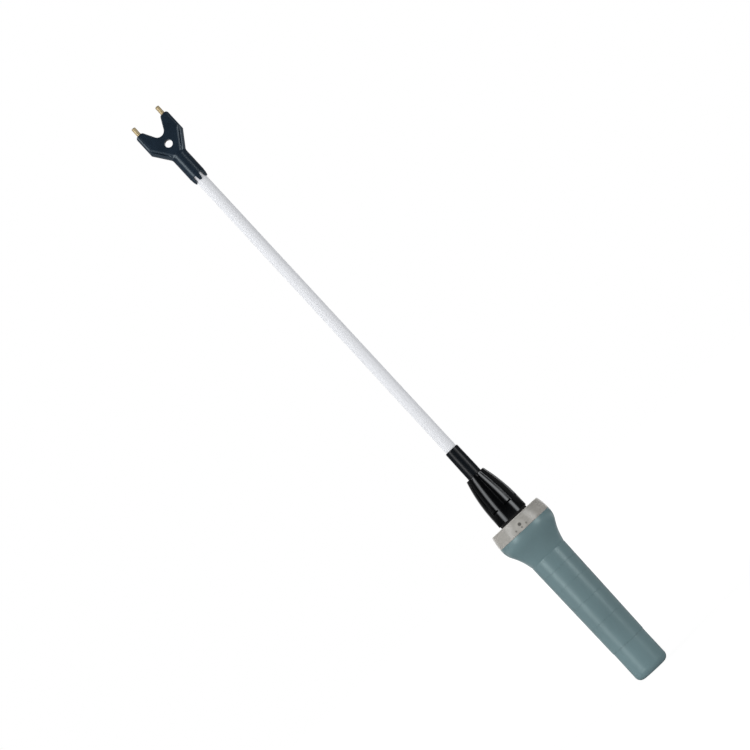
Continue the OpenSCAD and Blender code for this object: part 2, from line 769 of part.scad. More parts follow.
module shaft_sleeve() {
    top_z = nut_top_z + sleeve_exposed;
    straight_z = nut_top_z + 2 * press_travel;
    edge = 0.5;
    color([0.08, 0.08, 0.09]) difference() {
        union() {
            translate([0, 0, foot_floor_z]) cylinder(r = sleeve_radius, h = straight_z - foot_floor_z);
            translate([0, 0, straight_z]) cylinder(r1 = sleeve_radius, r2 = sleeve_radius - sleeve_taper,
                h = top_z - edge - straight_z);
            translate([0, 0, top_z - edge]) cylinder(r1 = sleeve_radius - sleeve_taper,
                r2 = sleeve_radius - sleeve_taper - edge, h = edge);
        }
        tube_cone(foot_floor_z - overrun, top_z + overrun, fixed_gap);
    }
}

// Solid cone of the tapered tube, grown by a gap
module tube_cone(low, high, gap) {
    translate([0, 0, low]) cylinder(r1 = tube_radius(low) + gap, r2 = tube_radius(high) + gap, h = high - low);
}

module shaft_tube() {
    color([0.88, 0.89, 0.91]) difference() {
        tube_cone(foot_floor_z, tube_top_z, 0);
        translate([0, 0, foot_floor_z - overrun])
            cylinder(r = shaft_bore_radius, h = tube_top_z - foot_floor_z + 2 * overrun);
    }
}

// Route of one wire in X and Z, from its pin up the tube and out to its electrode
function lead_route(side) =
    let (bend = [side * pin_offset, lead_bend_z], turn = [side * electrode_x, lead_top_z],
        way = (turn - bend) / norm(turn - bend))
    [[bend.x, pin_top_z], bend - [0, lead_ease], bend + lead_ease * way, turn - lead_ease * way,
        turn + [0, lead_ease], [turn.x, electrode_z]];

// Direction of a route at one of its points
function route_way(route, i) =
    let (way = route[min(i + 1, len(route) - 1)] - route[max(i - 1, 0)]) way / norm(way);

module lead(side) {
    sides = 8;
    route = lead_route(side);
    last = len(route) - 1;
    points = [for (i = [0:last]) for (j = [0:sides - 1])
        let (way = route_way(route, i), spin = 360 * j / sides)
        [route[i].x + wire_radius * cos(spin) * way.y, wire_radius * sin(spin),
            route[i].y - wire_radius * cos(spin) * way.x]];
    polyhedron(points, tube_faces(len(route), sides));
}

module lead_left() { color([0.55, 0.12, 0.10]) lead(-1); }

module lead_right() { color([0.12, 0.12, 0.13]) lead(1); }

module electrode(side) {
    translate([side * electrode_x, 0, 0]) {
        translate([0, 0, electrode_z]) cylinder(r = electrode_radius, h = tip_z - electrode_radius - electrode_z);
        translate([0, 0, tip_z - electrode_radius]) sphere(r = electrode_radius);
        translate([0, 0, electrode_z + collar_lift])
            cylinder(r = electrode_radius + collar_rim, h = collar_height);
    }
}

// Room in the fork for one electrode, its collar and its wire
module electrode_room(side) {
    foot_z = lead_top_z - channel_radius;
    translate([side * electrode_x, 0, foot_z]) cylinder(r = electrode_radius + fixed_gap, h = tip_z - foot_z);
    translate([side * electrode_x, 0, electrode_z + collar_lift - fixed_gap])
        cylinder(r = electrode_radius + collar_rim + fixed_gap, h = collar_height + 2 * fixed_gap);
    rod([side * pin_offset, 0, lead_bend_z], [side * electrode_x, 0, lead_top_z], channel_radius);
}

module electrode_left() { color([0.74, 0.62, 0.42]) union() electrode(-1); }

module electrode_right() { color([0.74, 0.62, 0.42]) union() electrode(1); }

// Right half of the fork's outline, from the notch's bottom round the arm to the stem
function fork_side() =
    let (touch = [notch_radius * cos(notch_lean), notch_centre_z - notch_radius * sin(notch_lean)],
        corner_z = arm_end_z - inner_corner_radius,
        run = (corner_z - touch.y + inner_corner_radius * sin(notch_lean)) / cos(notch_lean),
        corner_x = touch.x + run * sin(notch_lean) + inner_corner_radius * cos(notch_lean),
        slope = shoulder_height / (arm_half - stem_radius))
    concat(arc([0, notch_centre_z], notch_radius, -90, -notch_lean),
        arc([corner_x, corner_z], inner_corner_radius, 180 - notch_lean, 90),
        arc([arm_half - outer_corner_radius, arm_end_z - outer_corner_radius], outer_corner_radius, 90, 0),
        [[arm_half, shoulder_top_z], [stem_radius - shoulder_tuck, shoulder_z - shoulder_tuck * slope]]);

module fork_outline() {
    side = fork_side();
    last = len(side) - 1;
    polygon(concat(side, [for (i = [last:-1:1]) [-side[i].x, side[i].y]]));
}

// Front half of the fork's plate, bevelled along the arms' sides and the shoulders
module fork_plate() {
    reach = 2 * arm_half;
    slope = atan2(arm_half - stem_radius, shoulder_height);
    intersection() {
        rotate([90, 0, 0]) linear_extrude(face_depth) fork_outline();
        translate([arm_half, 0, shoulder_z - reach]) bevelled_bar(reach, tip_z - shoulder_z + reach);
        mirror([1, 0, 0]) translate([arm_half, 0, shoulder_z - reach])
            bevelled_bar(reach, tip_z - shoulder_z + reach);
        translate([arm_half, 0, shoulder_top_z]) rotate([0, slope, 0])
            translate([0, 0, -reach]) bevelled_bar(2 * reach, 2 * reach);
        mirror([1, 0, 0]) translate([arm_half, 0, shoulder_top_z]) rotate([0, slope, 0])
            translate([0, 0, -reach]) bevelled_bar(2 * reach, 2 * reach);
    }
}

// Upright bar that reaches from its bevelled edge at the origin towards -X
module bevelled_bar(reach, height) {
    linear_extrude(height) polygon([[0, 0], [0, bevel_depth - face_depth], [-bevel_width, -face_depth],
        [-reach, -face_depth], [-reach, 0]]);
}

// Front half of the fork: everything that looks towards -Y
module fork_half() {
    difference() {
        union() {
            fork_plate();
            rotate(180) rotate_extrude(angle = 180) polygon([[0, stem_end_z], [stem_radius - tooth_taper, stem_end_z],
                [stem_radius, stem_end_z + tooth_taper_length], [stem_radius, shoulder_z],
                [stem_radius - 2 * face_drop, shoulder_z + stem_run], [0, shoulder_z + stem_run]]);
        }
        tube_cone(stem_end_z - overrun, tube_top_z, fixed_gap);
        for (i = [0:tooth_count - 1]) rotate(360 * (i + 0.5) / tooth_count - 90) tooth_room();
        for (side = [-1, 1]) electrode_room(side);
        translate([0, 0, tube_top_z - overrun]) cylinder(r = shaft_bore_radius, h = overrun + fan_height);
    }
}

// Round-ended gap between two teeth, cut outwards from the axis
module tooth_room() {
    end_z = stem_end_z + tooth_depth - tooth_gap / 2;
    translate([0, 0, end_z]) rotate([0, 90, 0]) cylinder(r = tooth_gap / 2, h = stem_radius + overrun);
    translate([0, -tooth_gap / 2, stem_end_z - overrun])
        cube([stem_radius + overrun, tooth_gap, end_z - stem_end_z + overrun]);
}

module head_screw_places() {
    for (place = [[-head_screw_x, head_screw_z], [head_screw_x, head_screw_z], [0, low_screw_z]])
        translate([place.x, face_depth, place.y]) rotate([-90, 0, 0]) children();
}

module hanging_hole(radius) {
    translate([0, face_depth + overrun, hole_z]) rotate([90, 0, 0])
        cylinder(r = radius, h = 2 * face_depth + 2 * overrun);
}

module head_front_shell() {
    color([0.13, 0.17, 0.21]) difference() {
        union() {
            fork_half();
            translate([0, face_depth, hole_z]) rotate([90, 0, 0]) cylinder(r = hole_boss_radius, h = face_depth);
        }
        hanging_hole(hole_radius);
        head_screw_places() screw_room(face_depth - screw_head_height + head_screw_grip);
    }
}

module head_back_shell() {
    color([0.13, 0.17, 0.21]) difference() {
        mirror([0, 1, 0]) fork_half();
        hanging_hole(hole_boss_radius + fixed_gap);
        head_screw_places() screw_room(face_depth - screw_head_height + head_screw_grip);
    }
}

module head_screws() {
    color([0.72, 0.73, 0.75]) head_screw_places() screw(face_depth - screw_head_height + head_screw_grip);
}

end_cap();
cap_contact();
battery_spring();
cap_gasket();
handle_shell();
battery_lower();
battery_upper();
negative_strip();
contact_bulkhead();
positive_contact();
circuit_board();
transformer_core();
transformer_coil();
capacitor();
power_transistor();
neck_hub();
hub_screws();
clear_ring();
ring_seal();
led_holder();
indicator_led();
led_leads();
contact_sockets();
press_switch();
switch_button();
press_spring();
collar_washer();
collar_nut();
nose_bush();
wiper_seal();
plunger_foot();
contact_pins();
shaft_sleeve();
shaft_tube();
lead_left();
lead_right();
head_front_shell();
head_back_shell();
head_screws();
electrode_left();
electrode_right();
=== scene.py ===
import math

import bpy
import numpy as np
from mathutils import Matrix, Quaternion, Vector


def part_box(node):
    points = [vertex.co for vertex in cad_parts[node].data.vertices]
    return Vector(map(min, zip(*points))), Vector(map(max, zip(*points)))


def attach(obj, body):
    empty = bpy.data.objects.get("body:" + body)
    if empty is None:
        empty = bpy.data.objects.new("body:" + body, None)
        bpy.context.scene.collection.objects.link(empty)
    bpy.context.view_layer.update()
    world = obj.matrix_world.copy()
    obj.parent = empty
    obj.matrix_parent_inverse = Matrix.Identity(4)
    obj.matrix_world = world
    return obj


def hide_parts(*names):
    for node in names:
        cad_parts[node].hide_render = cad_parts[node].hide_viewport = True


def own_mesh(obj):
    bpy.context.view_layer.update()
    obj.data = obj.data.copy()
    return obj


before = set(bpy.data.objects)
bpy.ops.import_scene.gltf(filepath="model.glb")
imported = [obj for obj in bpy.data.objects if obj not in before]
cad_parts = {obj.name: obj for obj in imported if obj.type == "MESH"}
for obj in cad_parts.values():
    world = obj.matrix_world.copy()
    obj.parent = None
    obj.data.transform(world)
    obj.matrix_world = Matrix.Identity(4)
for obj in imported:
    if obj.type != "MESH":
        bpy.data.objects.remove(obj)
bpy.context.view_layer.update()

bl_info = {
    "name": "Livestock prod",
    "version": (1, 0, 0),
    "blender": (4, 5, 0),
    "location": "3D View > Sidebar > Prod",
    "description": "Builds the pieces and finishes of a cell-powered livestock prod over its packed frame",
    "category": "Object",
}

MM = 0.001
# Roundings of edges that recur, in millimetres.
SHARP = 0.0
HAIR = 0.1
FINE = 0.2
SOFT = 0.3


def length(name, millimetres, description, lowest=0.0):
    """A size that a user may change, kept in metres."""
    return bpy.props.FloatProperty(
        name=name, description=description, default=millimetres * MM, min=lowest, precision=4, unit="LENGTH")


def number(name, value, description, unit="NONE"):
    """A plain number that a user may change."""
    return bpy.props.FloatProperty(name=name, description=description, default=value, unit=unit)


def colour(name, red, green, blue, description):
    """A colour that a user may change, in linear light."""
    return bpy.props.FloatVectorProperty(
        name=name, description=description, default=(red, green, blue),
        min=0.0, max=1.0, size=3, subtype="COLOR")


def angle(name, degrees, description):
    """An angle that a user may change."""
    return bpy.props.FloatProperty(
        name=name, description=description, default=math.radians(degrees), subtype="ANGLE")


class Millimetres:
    """Reads the lengths of a property group in millimetres."""

    def __init__(self, group):
        self.group = group

    def __getattr__(self, name):
        return getattr(self.group, name) / MM


def low(node):
    """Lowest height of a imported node, in millimetres."""
    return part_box(node)[0].z / MM


def high(node):
    """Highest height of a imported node, in millimetres."""
    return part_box(node)[1].z / MM


def ends(node):
    """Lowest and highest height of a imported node, in millimetres."""
    return low(node), high(node)


def reach(node):
    """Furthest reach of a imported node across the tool, in millimetres."""
    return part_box(node)[1].x / MM


class HandleSizes(bpy.types.PropertyGroup):
    """Sizes of the grip, its cap and the threads."""
    cell_bore: length("Cell bore", 17.4, "Radius of the bore that holds the cells")
    bay_radius: length("Bay radius", 19.0, "Radius of the room above the cells")
    bay_floor: length("Bay floor", low("contact_bulkhead"), "Height at which the room above the cells begins")
    spigot_radius: length("Spigot", 18.8, "Radius of the spigot inside the cap")
    cap_bore: length("Cap bore", 19.1, "Radius of the cap's bore")
    cap_floor: length("Cap floor", 5.0, "Thickness of the cap's floor")
    cap_edge: length("Cap edge", 7.0, "Radius of the cap's rounded lower edge")
    barrel_low: length("Barrel foot", 21.3, "Radius of the barrel above the cap")
    barrel_top: length("Barrel top", 22.6, "Radius of the barrel below the flare")
    barrel_top_z: length("Barrel top height", 166.2, "Height at which the flare begins")
    bell_shoulder: length("Bell shoulder", 22.0, "Radius of the bell's shoulder")
    bell_straight: length("Bell rim", 3.0, "Straight length below the bell's rim")
    mouth_radius: length("Mouth", 30.8, "Radius of the bell's mouth")
    mouth_floor: length("Mouth floor", low("neck_hub"), "Height of the seat in the bell's mouth")
    ledge_radius: length("Ledge", 24.0, "Radius inside the seat in the bell's mouth")
    flare_lean: angle("Flare lean", 31.0, "Steepest lean of the flare")
    line_depth: length("Line depth", 0.2, "Depth of the ring lines round the grip")
    line_width: length("Line width", 0.6, "Width of the ring lines round the grip")
    seam_gap: length("Seam gap", 0.08, "Gap between the cap's lip and the barrel")
    gasket_room: length("Gasket room", 0.1, "Room round the gasket at the seam")
    flare_step: length("Flare step", 0.22, "Step in where the flare begins")
    ledge_height: length("Ledge height", 3.1, "Height of the ledge under the mouth's seat")
    thread_pitch: length("Thread pitch", 3.0, "Pitch of the threads on spigot and neck")
    thread_sink: length("Thread sink", 0.15, "Depth to which a thread's ridge is sunk")
    thread_height: length("Thread height", 0.55, "Half the height of a thread's ridge along the axis")


class CollarSizes(bpy.types.PropertyGroup):
    """Sizes of the clear ring, the neck and the nut."""
    ring_side: length("Ring side", 60.0, "Radius of the clear ring's curved side")
    ring_edge: length("Ring edge", 1.6, "Radius of the clear ring's upper edge")
    ring_bore: length("Ring bore", 28.4, "Radius inside the clear ring")
    ring_roof: length("Ring roof", 3.5, "Thickness of the clear ring's top")
    neck_radius: length("Neck", 14.2, "Radius of the threaded neck")
    nut_bore: length("Nut bore", 14.5, "Radius of the nut's thread")
    nut_radius: length("Nut", 18.95, "Radius of the nut's foot")
    nut_mouth: length("Nut mouth", 11.9, "Outer radius of the nut's mouth")
    mouth_bore: length("Mouth bore", 8.9, "Radius of the opening in the nut's mouth")
    wiper_room: length("Wiper room", 11.9, "Radius of the seat for the wiper seal")
    wiper_top: length("Wiper top", high("wiper_seal") + 0.2, "Height of the top of the wiper's seat")
    foot_height: length("Nut foot", 14.4, "Height of the nut's plain foot")
    arc_start: length("Arc start", 10.656, "Height above the nut's end at which its side begins to curve in")
    flute_count: bpy.props.IntProperty(
        name="Flutes", description="Number of flutes round the nut", default=6, min=3)
    flute_span: angle("Flute span", 30.0, "Angle that one flute covers")
    flute_turn: angle("Flute turn", 20.5, "Turn of the first flute from the front")
    flute_depth: length("Flute depth", 2.2, "Depth of a flute at its foot")
    flute_fade: length("Flute fade", 0.6, "Depth of a flute at the nut's mouth")
    slot_height: length("Slot height", 1.9, "Height of the slots at the flutes' feet")
    slot_floor: length("Slot floor", 15.6, "Radius of the slots' floor")


class ShaftSizes(bpy.types.PropertyGroup):
    """Sizes of the shaft, the head and the electrodes."""
    tube_low: length("Tube foot", 7.0, "Radius of the tube at its foot")
    tube_high: length("Tube top", 6.45, "Radius of the tube at the head")
    tube_bore: length("Tube bore", 4.5, "Radius of the tube's bore")
    sleeve_radius: length("Sleeve", 8.6, "Radius of the black sleeve")
    sleeve_top: length("Sleeve top", 8.25, "Radius of the sleeve's upper end")
    stem_radius: length("Stem", 9.4, "Radius of the head's stem")
    stem_end: length("Stem end", 709.5, "Height of the ends of the stem's teeth")
    shoulder_z: length("Shoulder foot", 745.6, "Height at which the shoulders leave the stem")
    shoulder_top: length("Shoulder top", 764.2, "Height at which the shoulders meet the arms")
    arm_half: length("Arm half", 22.5, "Half the width over the two arms")
    arm_end: length("Arm end", 789.4, "Height of the arms' ends")
    face_depth: length("Face depth", 8.2, "Distance of the fork's faces from its middle plane")
    notch_z: length("Notch bottom", 772.7, "Height of the notch's bottom")
    notch_radius: length("Notch radius", 7.2, "Radius of the notch's bottom")
    hole_z: length("Hole height", 761.7, "Height of the hanging hole")
    hole_radius: length("Hole radius", 4.4, "Radius of the hanging hole")
    tooth_gap: length("Tooth gap", 4.6, "Width of the gaps between the stem's teeth")
    tooth_depth: length("Tooth depth", 7.5, "Depth of the gaps between the stem's teeth")
    electrode_x: length("Electrode place", 17.15, "Distance of an electrode from the tool's axis")
    electrode_radius: length("Electrode", 2.4, "Radius of an electrode")
    electrode_room: length("Electrode room", 0.12, "Room round an electrode in its seat")
    electrode_seat: length("Electrode seat", 5.0, "Depth of an electrode's seat below the arm's end")
    electrode_collar: length("Electrode collar", 1.0, "Width of an electrode's collar")
    tube_room: length("Tube room", 0.1, "Room round the tube in the stem")
    screw_room: length("Screw room", 2.75, "Radius of the rooms for the screws' heads")
    screw_sink: length("Screw sink", 2.1, "Depth of the rooms for the screws' heads")
    voxel: length("Head detail", 0.4, "Spacing of the head's surface points")


class Colours(bpy.types.PropertyGroup):
    """Colours of the prod's finishes."""
    grip: colour("Grip", 0.125, 0.192, 0.207, "Teal-grey plastic of the handle and cap")
    head: colour("Head", 0.0095, 0.0175, 0.0285, "Blue-black plastic of the forked head")
    nut: colour("Nut", 0.0013, 0.0015, 0.0018, "Polished black plastic of the collar nut")
    sleeve: colour("Sleeve", 0.0028, 0.0045, 0.0068, "Satin black plastic of the sleeve")
    tube: colour("Shaft", 0.68, 0.692, 0.72, "White glass-fibre of the shaft")
    ring: colour("Clear ring", 0.52, 0.505, 0.47, "Cloudy plastic of the lamp ring")
    brass: colour("Brass", 0.64, 0.52, 0.31, "Turned brass of the electrodes")


class StudioSettings(bpy.types.PropertyGroup):
    """Camera and lights of the picture."""
    distance: length("Camera distance", 5326.0, "Distance of the camera from the tool's axis")
    aim_x: length("Aim across", -5.8, "Point across the tool that the camera looks at", -1.0)
    aim_z: length("Aim height", 431.2, "Height that the camera looks at")
    camera_z: length("Camera height", 234.0, "Height of the camera itself")
    roll: angle("Roll", 42.725, "Turn of the camera about its line of sight")
    lens: number("Lens", 240.3, "Focal length of the camera", "CAMERA")
    left_light: number("Left panel", 4.65, "Brightness of the panel on the left")
    right_light: number("Right panel", 4.95, "Brightness of the panel on the right")
    gloss_front: number("Dark room", 0.012, "Brightness of the room in front as polished surfaces see it")
    gloss_side: number("Dim sides", 0.12, "Brightness beside the tool as polished surfaces see it")
    fill_front: number("Front fill", 0.285, "Soft light from the front")
    fill_back: number("Back fill", 0.75, "Soft light from behind")
    fill_left: number("Left fill", 1.5, "Soft light from the left that no surface mirrors")


class Wire:
    """A node's output that takes part in Python expressions."""

    def __init__(self, tree, socket):
        self.tree = tree
        self.socket = socket

    @classmethod
    def add(cls, tree, kind, sockets=(), out=0, **settings):
        """Adds a node: its settings first, then the values or links of its sockets; gives one output."""
        node = tree.nodes.new(kind)
        for name, value in settings.items():
            setattr(node, name, value)
        for key, value in dict(sockets).items():
            if isinstance(value, Wire):
                tree.links.new(value.socket, node.inputs[key])
            else:
                node.inputs[key].default_value = value
        return cls(tree, node.outputs[out])

    def maths(self, operation, first, second=0.0):
        """A Math node on wires and numbers."""
        return Wire.add(self.tree, "ShaderNodeMath", {0: first, 1: second}, operation=operation)

    def __add__(self, other):
        return self.maths("ADD", self, other)

    def __radd__(self, other):
        return self.maths("ADD", other, self)

    def __sub__(self, other):
        return self.maths("SUBTRACT", self, other)

    def __rsub__(self, other):
        return self.maths("SUBTRACT", other, self)

    def __mul__(self, other):
        return self.maths("MULTIPLY", self, other)

    def __rmul__(self, other):
        return self.maths("MULTIPLY", other, self)

    def __truediv__(self, other):
        return self.maths("DIVIDE", self, other)

    def __rtruediv__(self, other):
        return self.maths("DIVIDE", other, self)

    def __lt__(self, other):
        return self.maths("LESS_THAN", self, other)

    def __gt__(self, other):
        return self.maths("GREATER_THAN", self, other)

    def power(self, other):
        """This wire raised to a power."""
        return self.maths("POWER", self, other)

    def ramp(self, start, end):
        """Runs from 0 to 1 between two values, eased."""
        return Wire.add(self.tree, "ShaderNodeMapRange", {"Value": self, "From Min": start, "From Max": end},
                        interpolation_type="SMOOTHSTEP")

    def blend(self, first, second):
        """A colour between two colours, this wire being the share of the second."""
        return Wire.add(self.tree, "ShaderNodeMix", {0: self, 6: first, 7: second}, 2, data_type="RGBA")


class Finish:
    """A material with a Principled shader and object coordinates."""

    def __init__(self, name, **constants):
        self.material = bpy.data.materials.new(name)
        self.material.use_nodes = True
        self.tree = self.material.node_tree
        self.shader = self.tree.nodes["Principled BSDF"]
        self.place = Wire.add(self.tree, "ShaderNodeTexCoord", out=3)
        self.set(**constants)

    def set(self, **values):
        """Sets or links sockets of the shader, named with underscores."""
        for name, value in values.items():
            socket = self.shader.inputs[name.replace("_", " ")]
            if isinstance(value, Wire):
                self.tree.links.new(value.socket, socket)
            elif isinstance(value, (int, float)):
                socket.default_value = value
            else:
                socket.default_value = (*value, 1.0)

    def noise(self, scale, detail, stretch=(1.0, 1.0, 1.0)):
        """Noise in object space, its scale in cells to a metre."""
        spot = Wire.add(self.tree, "ShaderNodeMapping", {"Vector": self.place, "Scale": stretch})
        return Wire.add(self.tree, "ShaderNodeTexNoise", {
            "Vector": spot, "Scale": scale, "Detail": detail, "Roughness": 0.55})

    def coordinate(self, axis):
        """One of the object coordinates, in metres."""
        return Wire.add(self.tree, "ShaderNodeSeparateXYZ", {"Vector": self.place}, "XYZ".index(axis))

    def attribute(self, name):
        """A number stored on the piece's points."""
        return Wire.add(self.tree, "ShaderNodeAttribute", out=2, attribute_name=name)

    def near(self, x, z, inner, outer):
        """One within a distance of a spot across Y, in metres, falling to nothing further out."""
        across = self.coordinate("X") - x
        along = self.coordinate("Z") - z
        return 1.0 - (across * across + along * along).power(0.5).ramp(inner, outer)

    def bump(self, height, depth):
        """Links a bump of a depth in metres to the shader's normal."""
        sockets = {"Height": height, "Distance": depth, "Strength": 1.0}
        self.set(Normal=Wire.add(self.tree, "ShaderNodeBump", sockets))


def tint(shade, factor):
    """A colour made darker or lighter, as a node socket takes it."""
    return (*[min(1.0, part * factor) for part in shade], 1.0)


def moulded(name, shade, roughness, grain, depth, mottle, **constants):
    """Moulded plastic: mottled colour, fine spark-eroded grain and faint handling marks."""
    finish = Finish(name, **constants)
    cloud = finish.noise(35.0, 4.0)
    speck = finish.noise(900.0, 2.0)
    share = cloud.ramp(0.35, 0.65) * 0.7 + speck.ramp(0.3, 0.7) * 0.3
    finish.set(Base_Color=share.blend(tint(shade, 1.0 - mottle), tint(shade, 1.0 + mottle)))
    rub = finish.noise(160.0, 5.0, (1.0, 1.0, 0.25))
    finish.set(Roughness=roughness - 0.05 + rub * 0.10 + speck * 0.04)
    finish.bump(finish.noise(grain, 2.0), depth)
    return finish


def grip_finish(shade):
    """Satin teal-grey plastic, its sheen slightly tinted; painted light pales it towards the cap's end."""
    finish = moulded("satin grip plastic", shade, roughness=0.29, grain=1800.0, depth=0.000003, mottle=0.03)
    finish.set(Specular_IOR_Level=0.68, Specular_Tint=(0.86, 1.0, 1.0))
    body = Wire(finish.tree, finish.shader.inputs["Base Color"].links[0].from_socket)
    # Painted light: the colour turns paler towards the cap's end, offsetting the floor's shade there.
    foot = 1.0 - finish.coordinate("Z").ramp(0.020, 0.075)
    finish.set(Base_Color=(foot * 0.7).blend(body, tint(shade, 1.22)))
    return finish.material


def head_finish(shade):
    """Blue-black plastic, rubbed paler and smoother along its edges."""
    finish = Finish("blue-black head plastic", Specular_IOR_Level=0.5, Specular_Tint=(0.80, 0.93, 1.0))
    cloud = finish.noise(60.0, 4.0)
    speck = finish.noise(1500.0, 2.0)
    rub = finish.attribute("edge").ramp(0.25, 0.9) * finish.noise(700.0, 4.0).ramp(0.35, 0.65)
    body = cloud.ramp(0.35, 0.65).blend(tint(shade, 0.9), tint(shade, 1.15))
    finish.set(Base_Color=(rub * 0.6).blend(body, tint(shade, 2.6)))
    finish.set(Roughness=0.22 + speck * 0.08 - rub * 0.06)
    finish.bump(finish.noise(2400.0, 2.0), 0.000003)
    return finish.material


def nut_finish(shade):
    """Polished black plastic with fine hairlines and a little dust."""
    finish = Finish("polished black plastic", Specular_IOR_Level=0.5, Specular_Tint=(0.94, 0.97, 1.0))
    hair = finish.noise(2600.0, 3.0, (1.0, 1.0, 0.06))
    dust = finish.noise(5200.0, 1.0).ramp(0.70, 0.78)
    finish.set(Base_Color=(dust * 0.5).blend(tint(shade, 1.0), tint(shade, 6.0)))
    finish.set(Roughness=0.10 + hair * 0.06 + dust * 0.2)
    finish.bump(finish.noise(420.0, 3.0), 0.000002)
    return finish.material


def tube_finish(shade):
    """White glass-fibre tube: fibres run along it under a smooth skin."""
    finish = Finish("white glass-fibre", Specular_IOR_Level=0.2)
    strand = finish.noise(420.0, 2.0, (1.0, 1.0, 0.03))
    cloud = finish.noise(30.0, 3.0, (1.0, 1.0, 0.2))
    share = strand.ramp(0.3, 0.7) * 0.6 + cloud.ramp(0.35, 0.65) * 0.4
    finish.set(Base_Color=share.blend(tint(shade, 0.985), tint(shade, 1.015)))
    finish.set(Roughness=0.30 + strand * 0.06)
    finish.bump(cloud, 0.00001)
    return finish.material


def ring_finish(shade):
    """Cloudy translucent plastic with flow marks; painted shade marks the lamp and its seats as soft dark
    spots.
    """
    finish = Finish("cloudy lamp plastic", Transmission_Weight=0.40, IOR=1.46, Specular_IOR_Level=0.5)
    cloud = finish.noise(70.0, 4.0)
    flow = finish.noise(240.0, 3.0, (1.0, 1.0, 2.5))
    share = cloud.ramp(0.3, 0.7) * 0.6 + flow.ramp(0.35, 0.65) * 0.4
    front = 1.0 - finish.coordinate("Y").ramp(-0.02, 0.0)
    seam = high("handle_shell") * MM
    lamp_x = -0.0007
    # Painted shade: the lamp and its three seats behind the ring are painted on its front as soft dark spots.
    spots = front * finish.near(lamp_x, seam + 0.0073, 0.0011, 0.0028)
    # Painted light: a paler patch round the lamp on the ring's front.
    painted_light_patch = front * finish.near(lamp_x, seam + 0.0060, 0.0045, 0.0080) * 0.4
    for seat_x, seat_z in ((-0.0085, 0.0038), (-0.0008, 0.0033), (0.0058, 0.0038)):
        spots = spots + front * finish.near(seat_x, seam + seat_z, 0.0003, 0.0020) * 0.7
    body = share.blend(tint(shade, 0.88), tint(shade, 1.08))
    body = painted_light_patch.blend(body, tint(shade, 1.4))
    # Painted highlight: the ring's top edge is painted paler, standing in for light falling on it from above.
    top = high("clear_ring") * MM
    edge = finish.coordinate("Z").ramp(top - 0.0008, top - 0.0003)
    body = edge.blend(body, tint(shade, 1.6))
    # Near-black colour of the painted shade in the spots.
    painted_shade = (0.06, 0.058, 0.055, 1.0)
    finish.set(Base_Color=(spots.ramp(0.0, 1.0) * 0.8).blend(body, painted_shade))
    finish.set(Roughness=0.20 + flow * 0.10)
    finish.bump(finish.noise(600.0, 2.0), 0.000003)
    return finish.material


def brass_finish(shade):
    """Turned brass: fine tool rings, tarnish and darker ends."""
    finish = Finish("turned brass", Metallic=0.75)
    rings = finish.noise(5200.0, 2.0, (0.02, 0.02, 1.0))
    tarnish = finish.noise(260.0, 4.0).ramp(0.38, 0.70)
    tip = high("electrode_left") * MM
    stain = tarnish * 0.1 + finish.coordinate("Z").ramp(tip - 0.0035, tip) * 0.2
    finish.set(Base_Color=stain.blend(tint(shade, 1.05), tint(shade, 0.45)))
    finish.set(Roughness=0.52 + tarnish * 0.08 + rings * 0.03)
    finish.bump(rings, 0.0000002)
    return finish.material


def clouded(name, cloud, shades, roughness, grain, depth, edges=None, **constants):
    """A finish whose colour and roughness follow one cloud, with a fine grain of a depth in metres."""
    finish = Finish(name, **constants)
    share = finish.noise(*cloud)
    if edges:
        share = share.ramp(*edges)
    finish.set(Base_Color=share.blend(*(tint(shade, 1.0) for shade in shades)))
    finish.set(Roughness=roughness[0] + share * roughness[1])
    finish.bump(finish.noise(*grain), depth)
    return finish.material


def steel_finish():
    """Bright drawn steel with faint draw lines."""
    finish = Finish("drawn steel", Metallic=1.0)
    lines = finish.noise(3000.0, 3.0)
    spots = finish.noise(500.0, 4.0).ramp(0.45, 0.7)
    finish.set(Base_Color=spots.blend((0.62, 0.63, 0.65, 1.0), (0.45, 0.45, 0.46, 1.0)))
    finish.set(Roughness=0.26 + lines * 0.12 + spots * 0.1)
    finish.bump(lines, 0.000002)
    return finish.material


def cell_finish(bottom, top):
    """Plain dark jacket on a cell, bare steel at both ends."""
    finish = Finish("cell jacket")
    height = finish.coordinate("Z")
    bare = (height < bottom + 0.0012) + (height > top - 0.0030)
    scuff = finish.noise(900.0, 5.0).ramp(0.55, 0.75)
    jacket = (scuff * 0.4).blend((0.020, 0.022, 0.026, 1.0), (0.08, 0.08, 0.085, 1.0))
    finish.set(Base_Color=bare.blend(jacket, (0.58, 0.58, 0.60, 1.0)), Metallic=bare)
    finish.set(Roughness=0.32 + scuff * 0.15)
    finish.bump(finish.noise(1500.0, 2.0), 0.000002)
    return finish.material


def board_finish():
    """Green circuit board with paler tracks."""
    finish = Finish("circuit board", Coat_Weight=0.3)
    across = finish.coordinate("X")
    along = finish.coordinate("Z")
    lane = across.maths("PINGPONG", across + 0.1, 0.0019) < 0.00045
    cut = along.maths("PINGPONG", along + across * 0.7, 0.006) > 0.0012
    track = lane * cut
    weave = finish.noise(2600.0, 2.0)
    laminate = weave.blend((0.010, 0.070, 0.030, 1.0), (0.016, 0.095, 0.042, 1.0))
    finish.set(Base_Color=track.blend(laminate, (0.045, 0.17, 0.085, 1.0)))
    finish.set(Roughness=0.35 + weave * 0.1)
    finish.bump(track + weave * 0.2, 0.00002)
    return finish.material


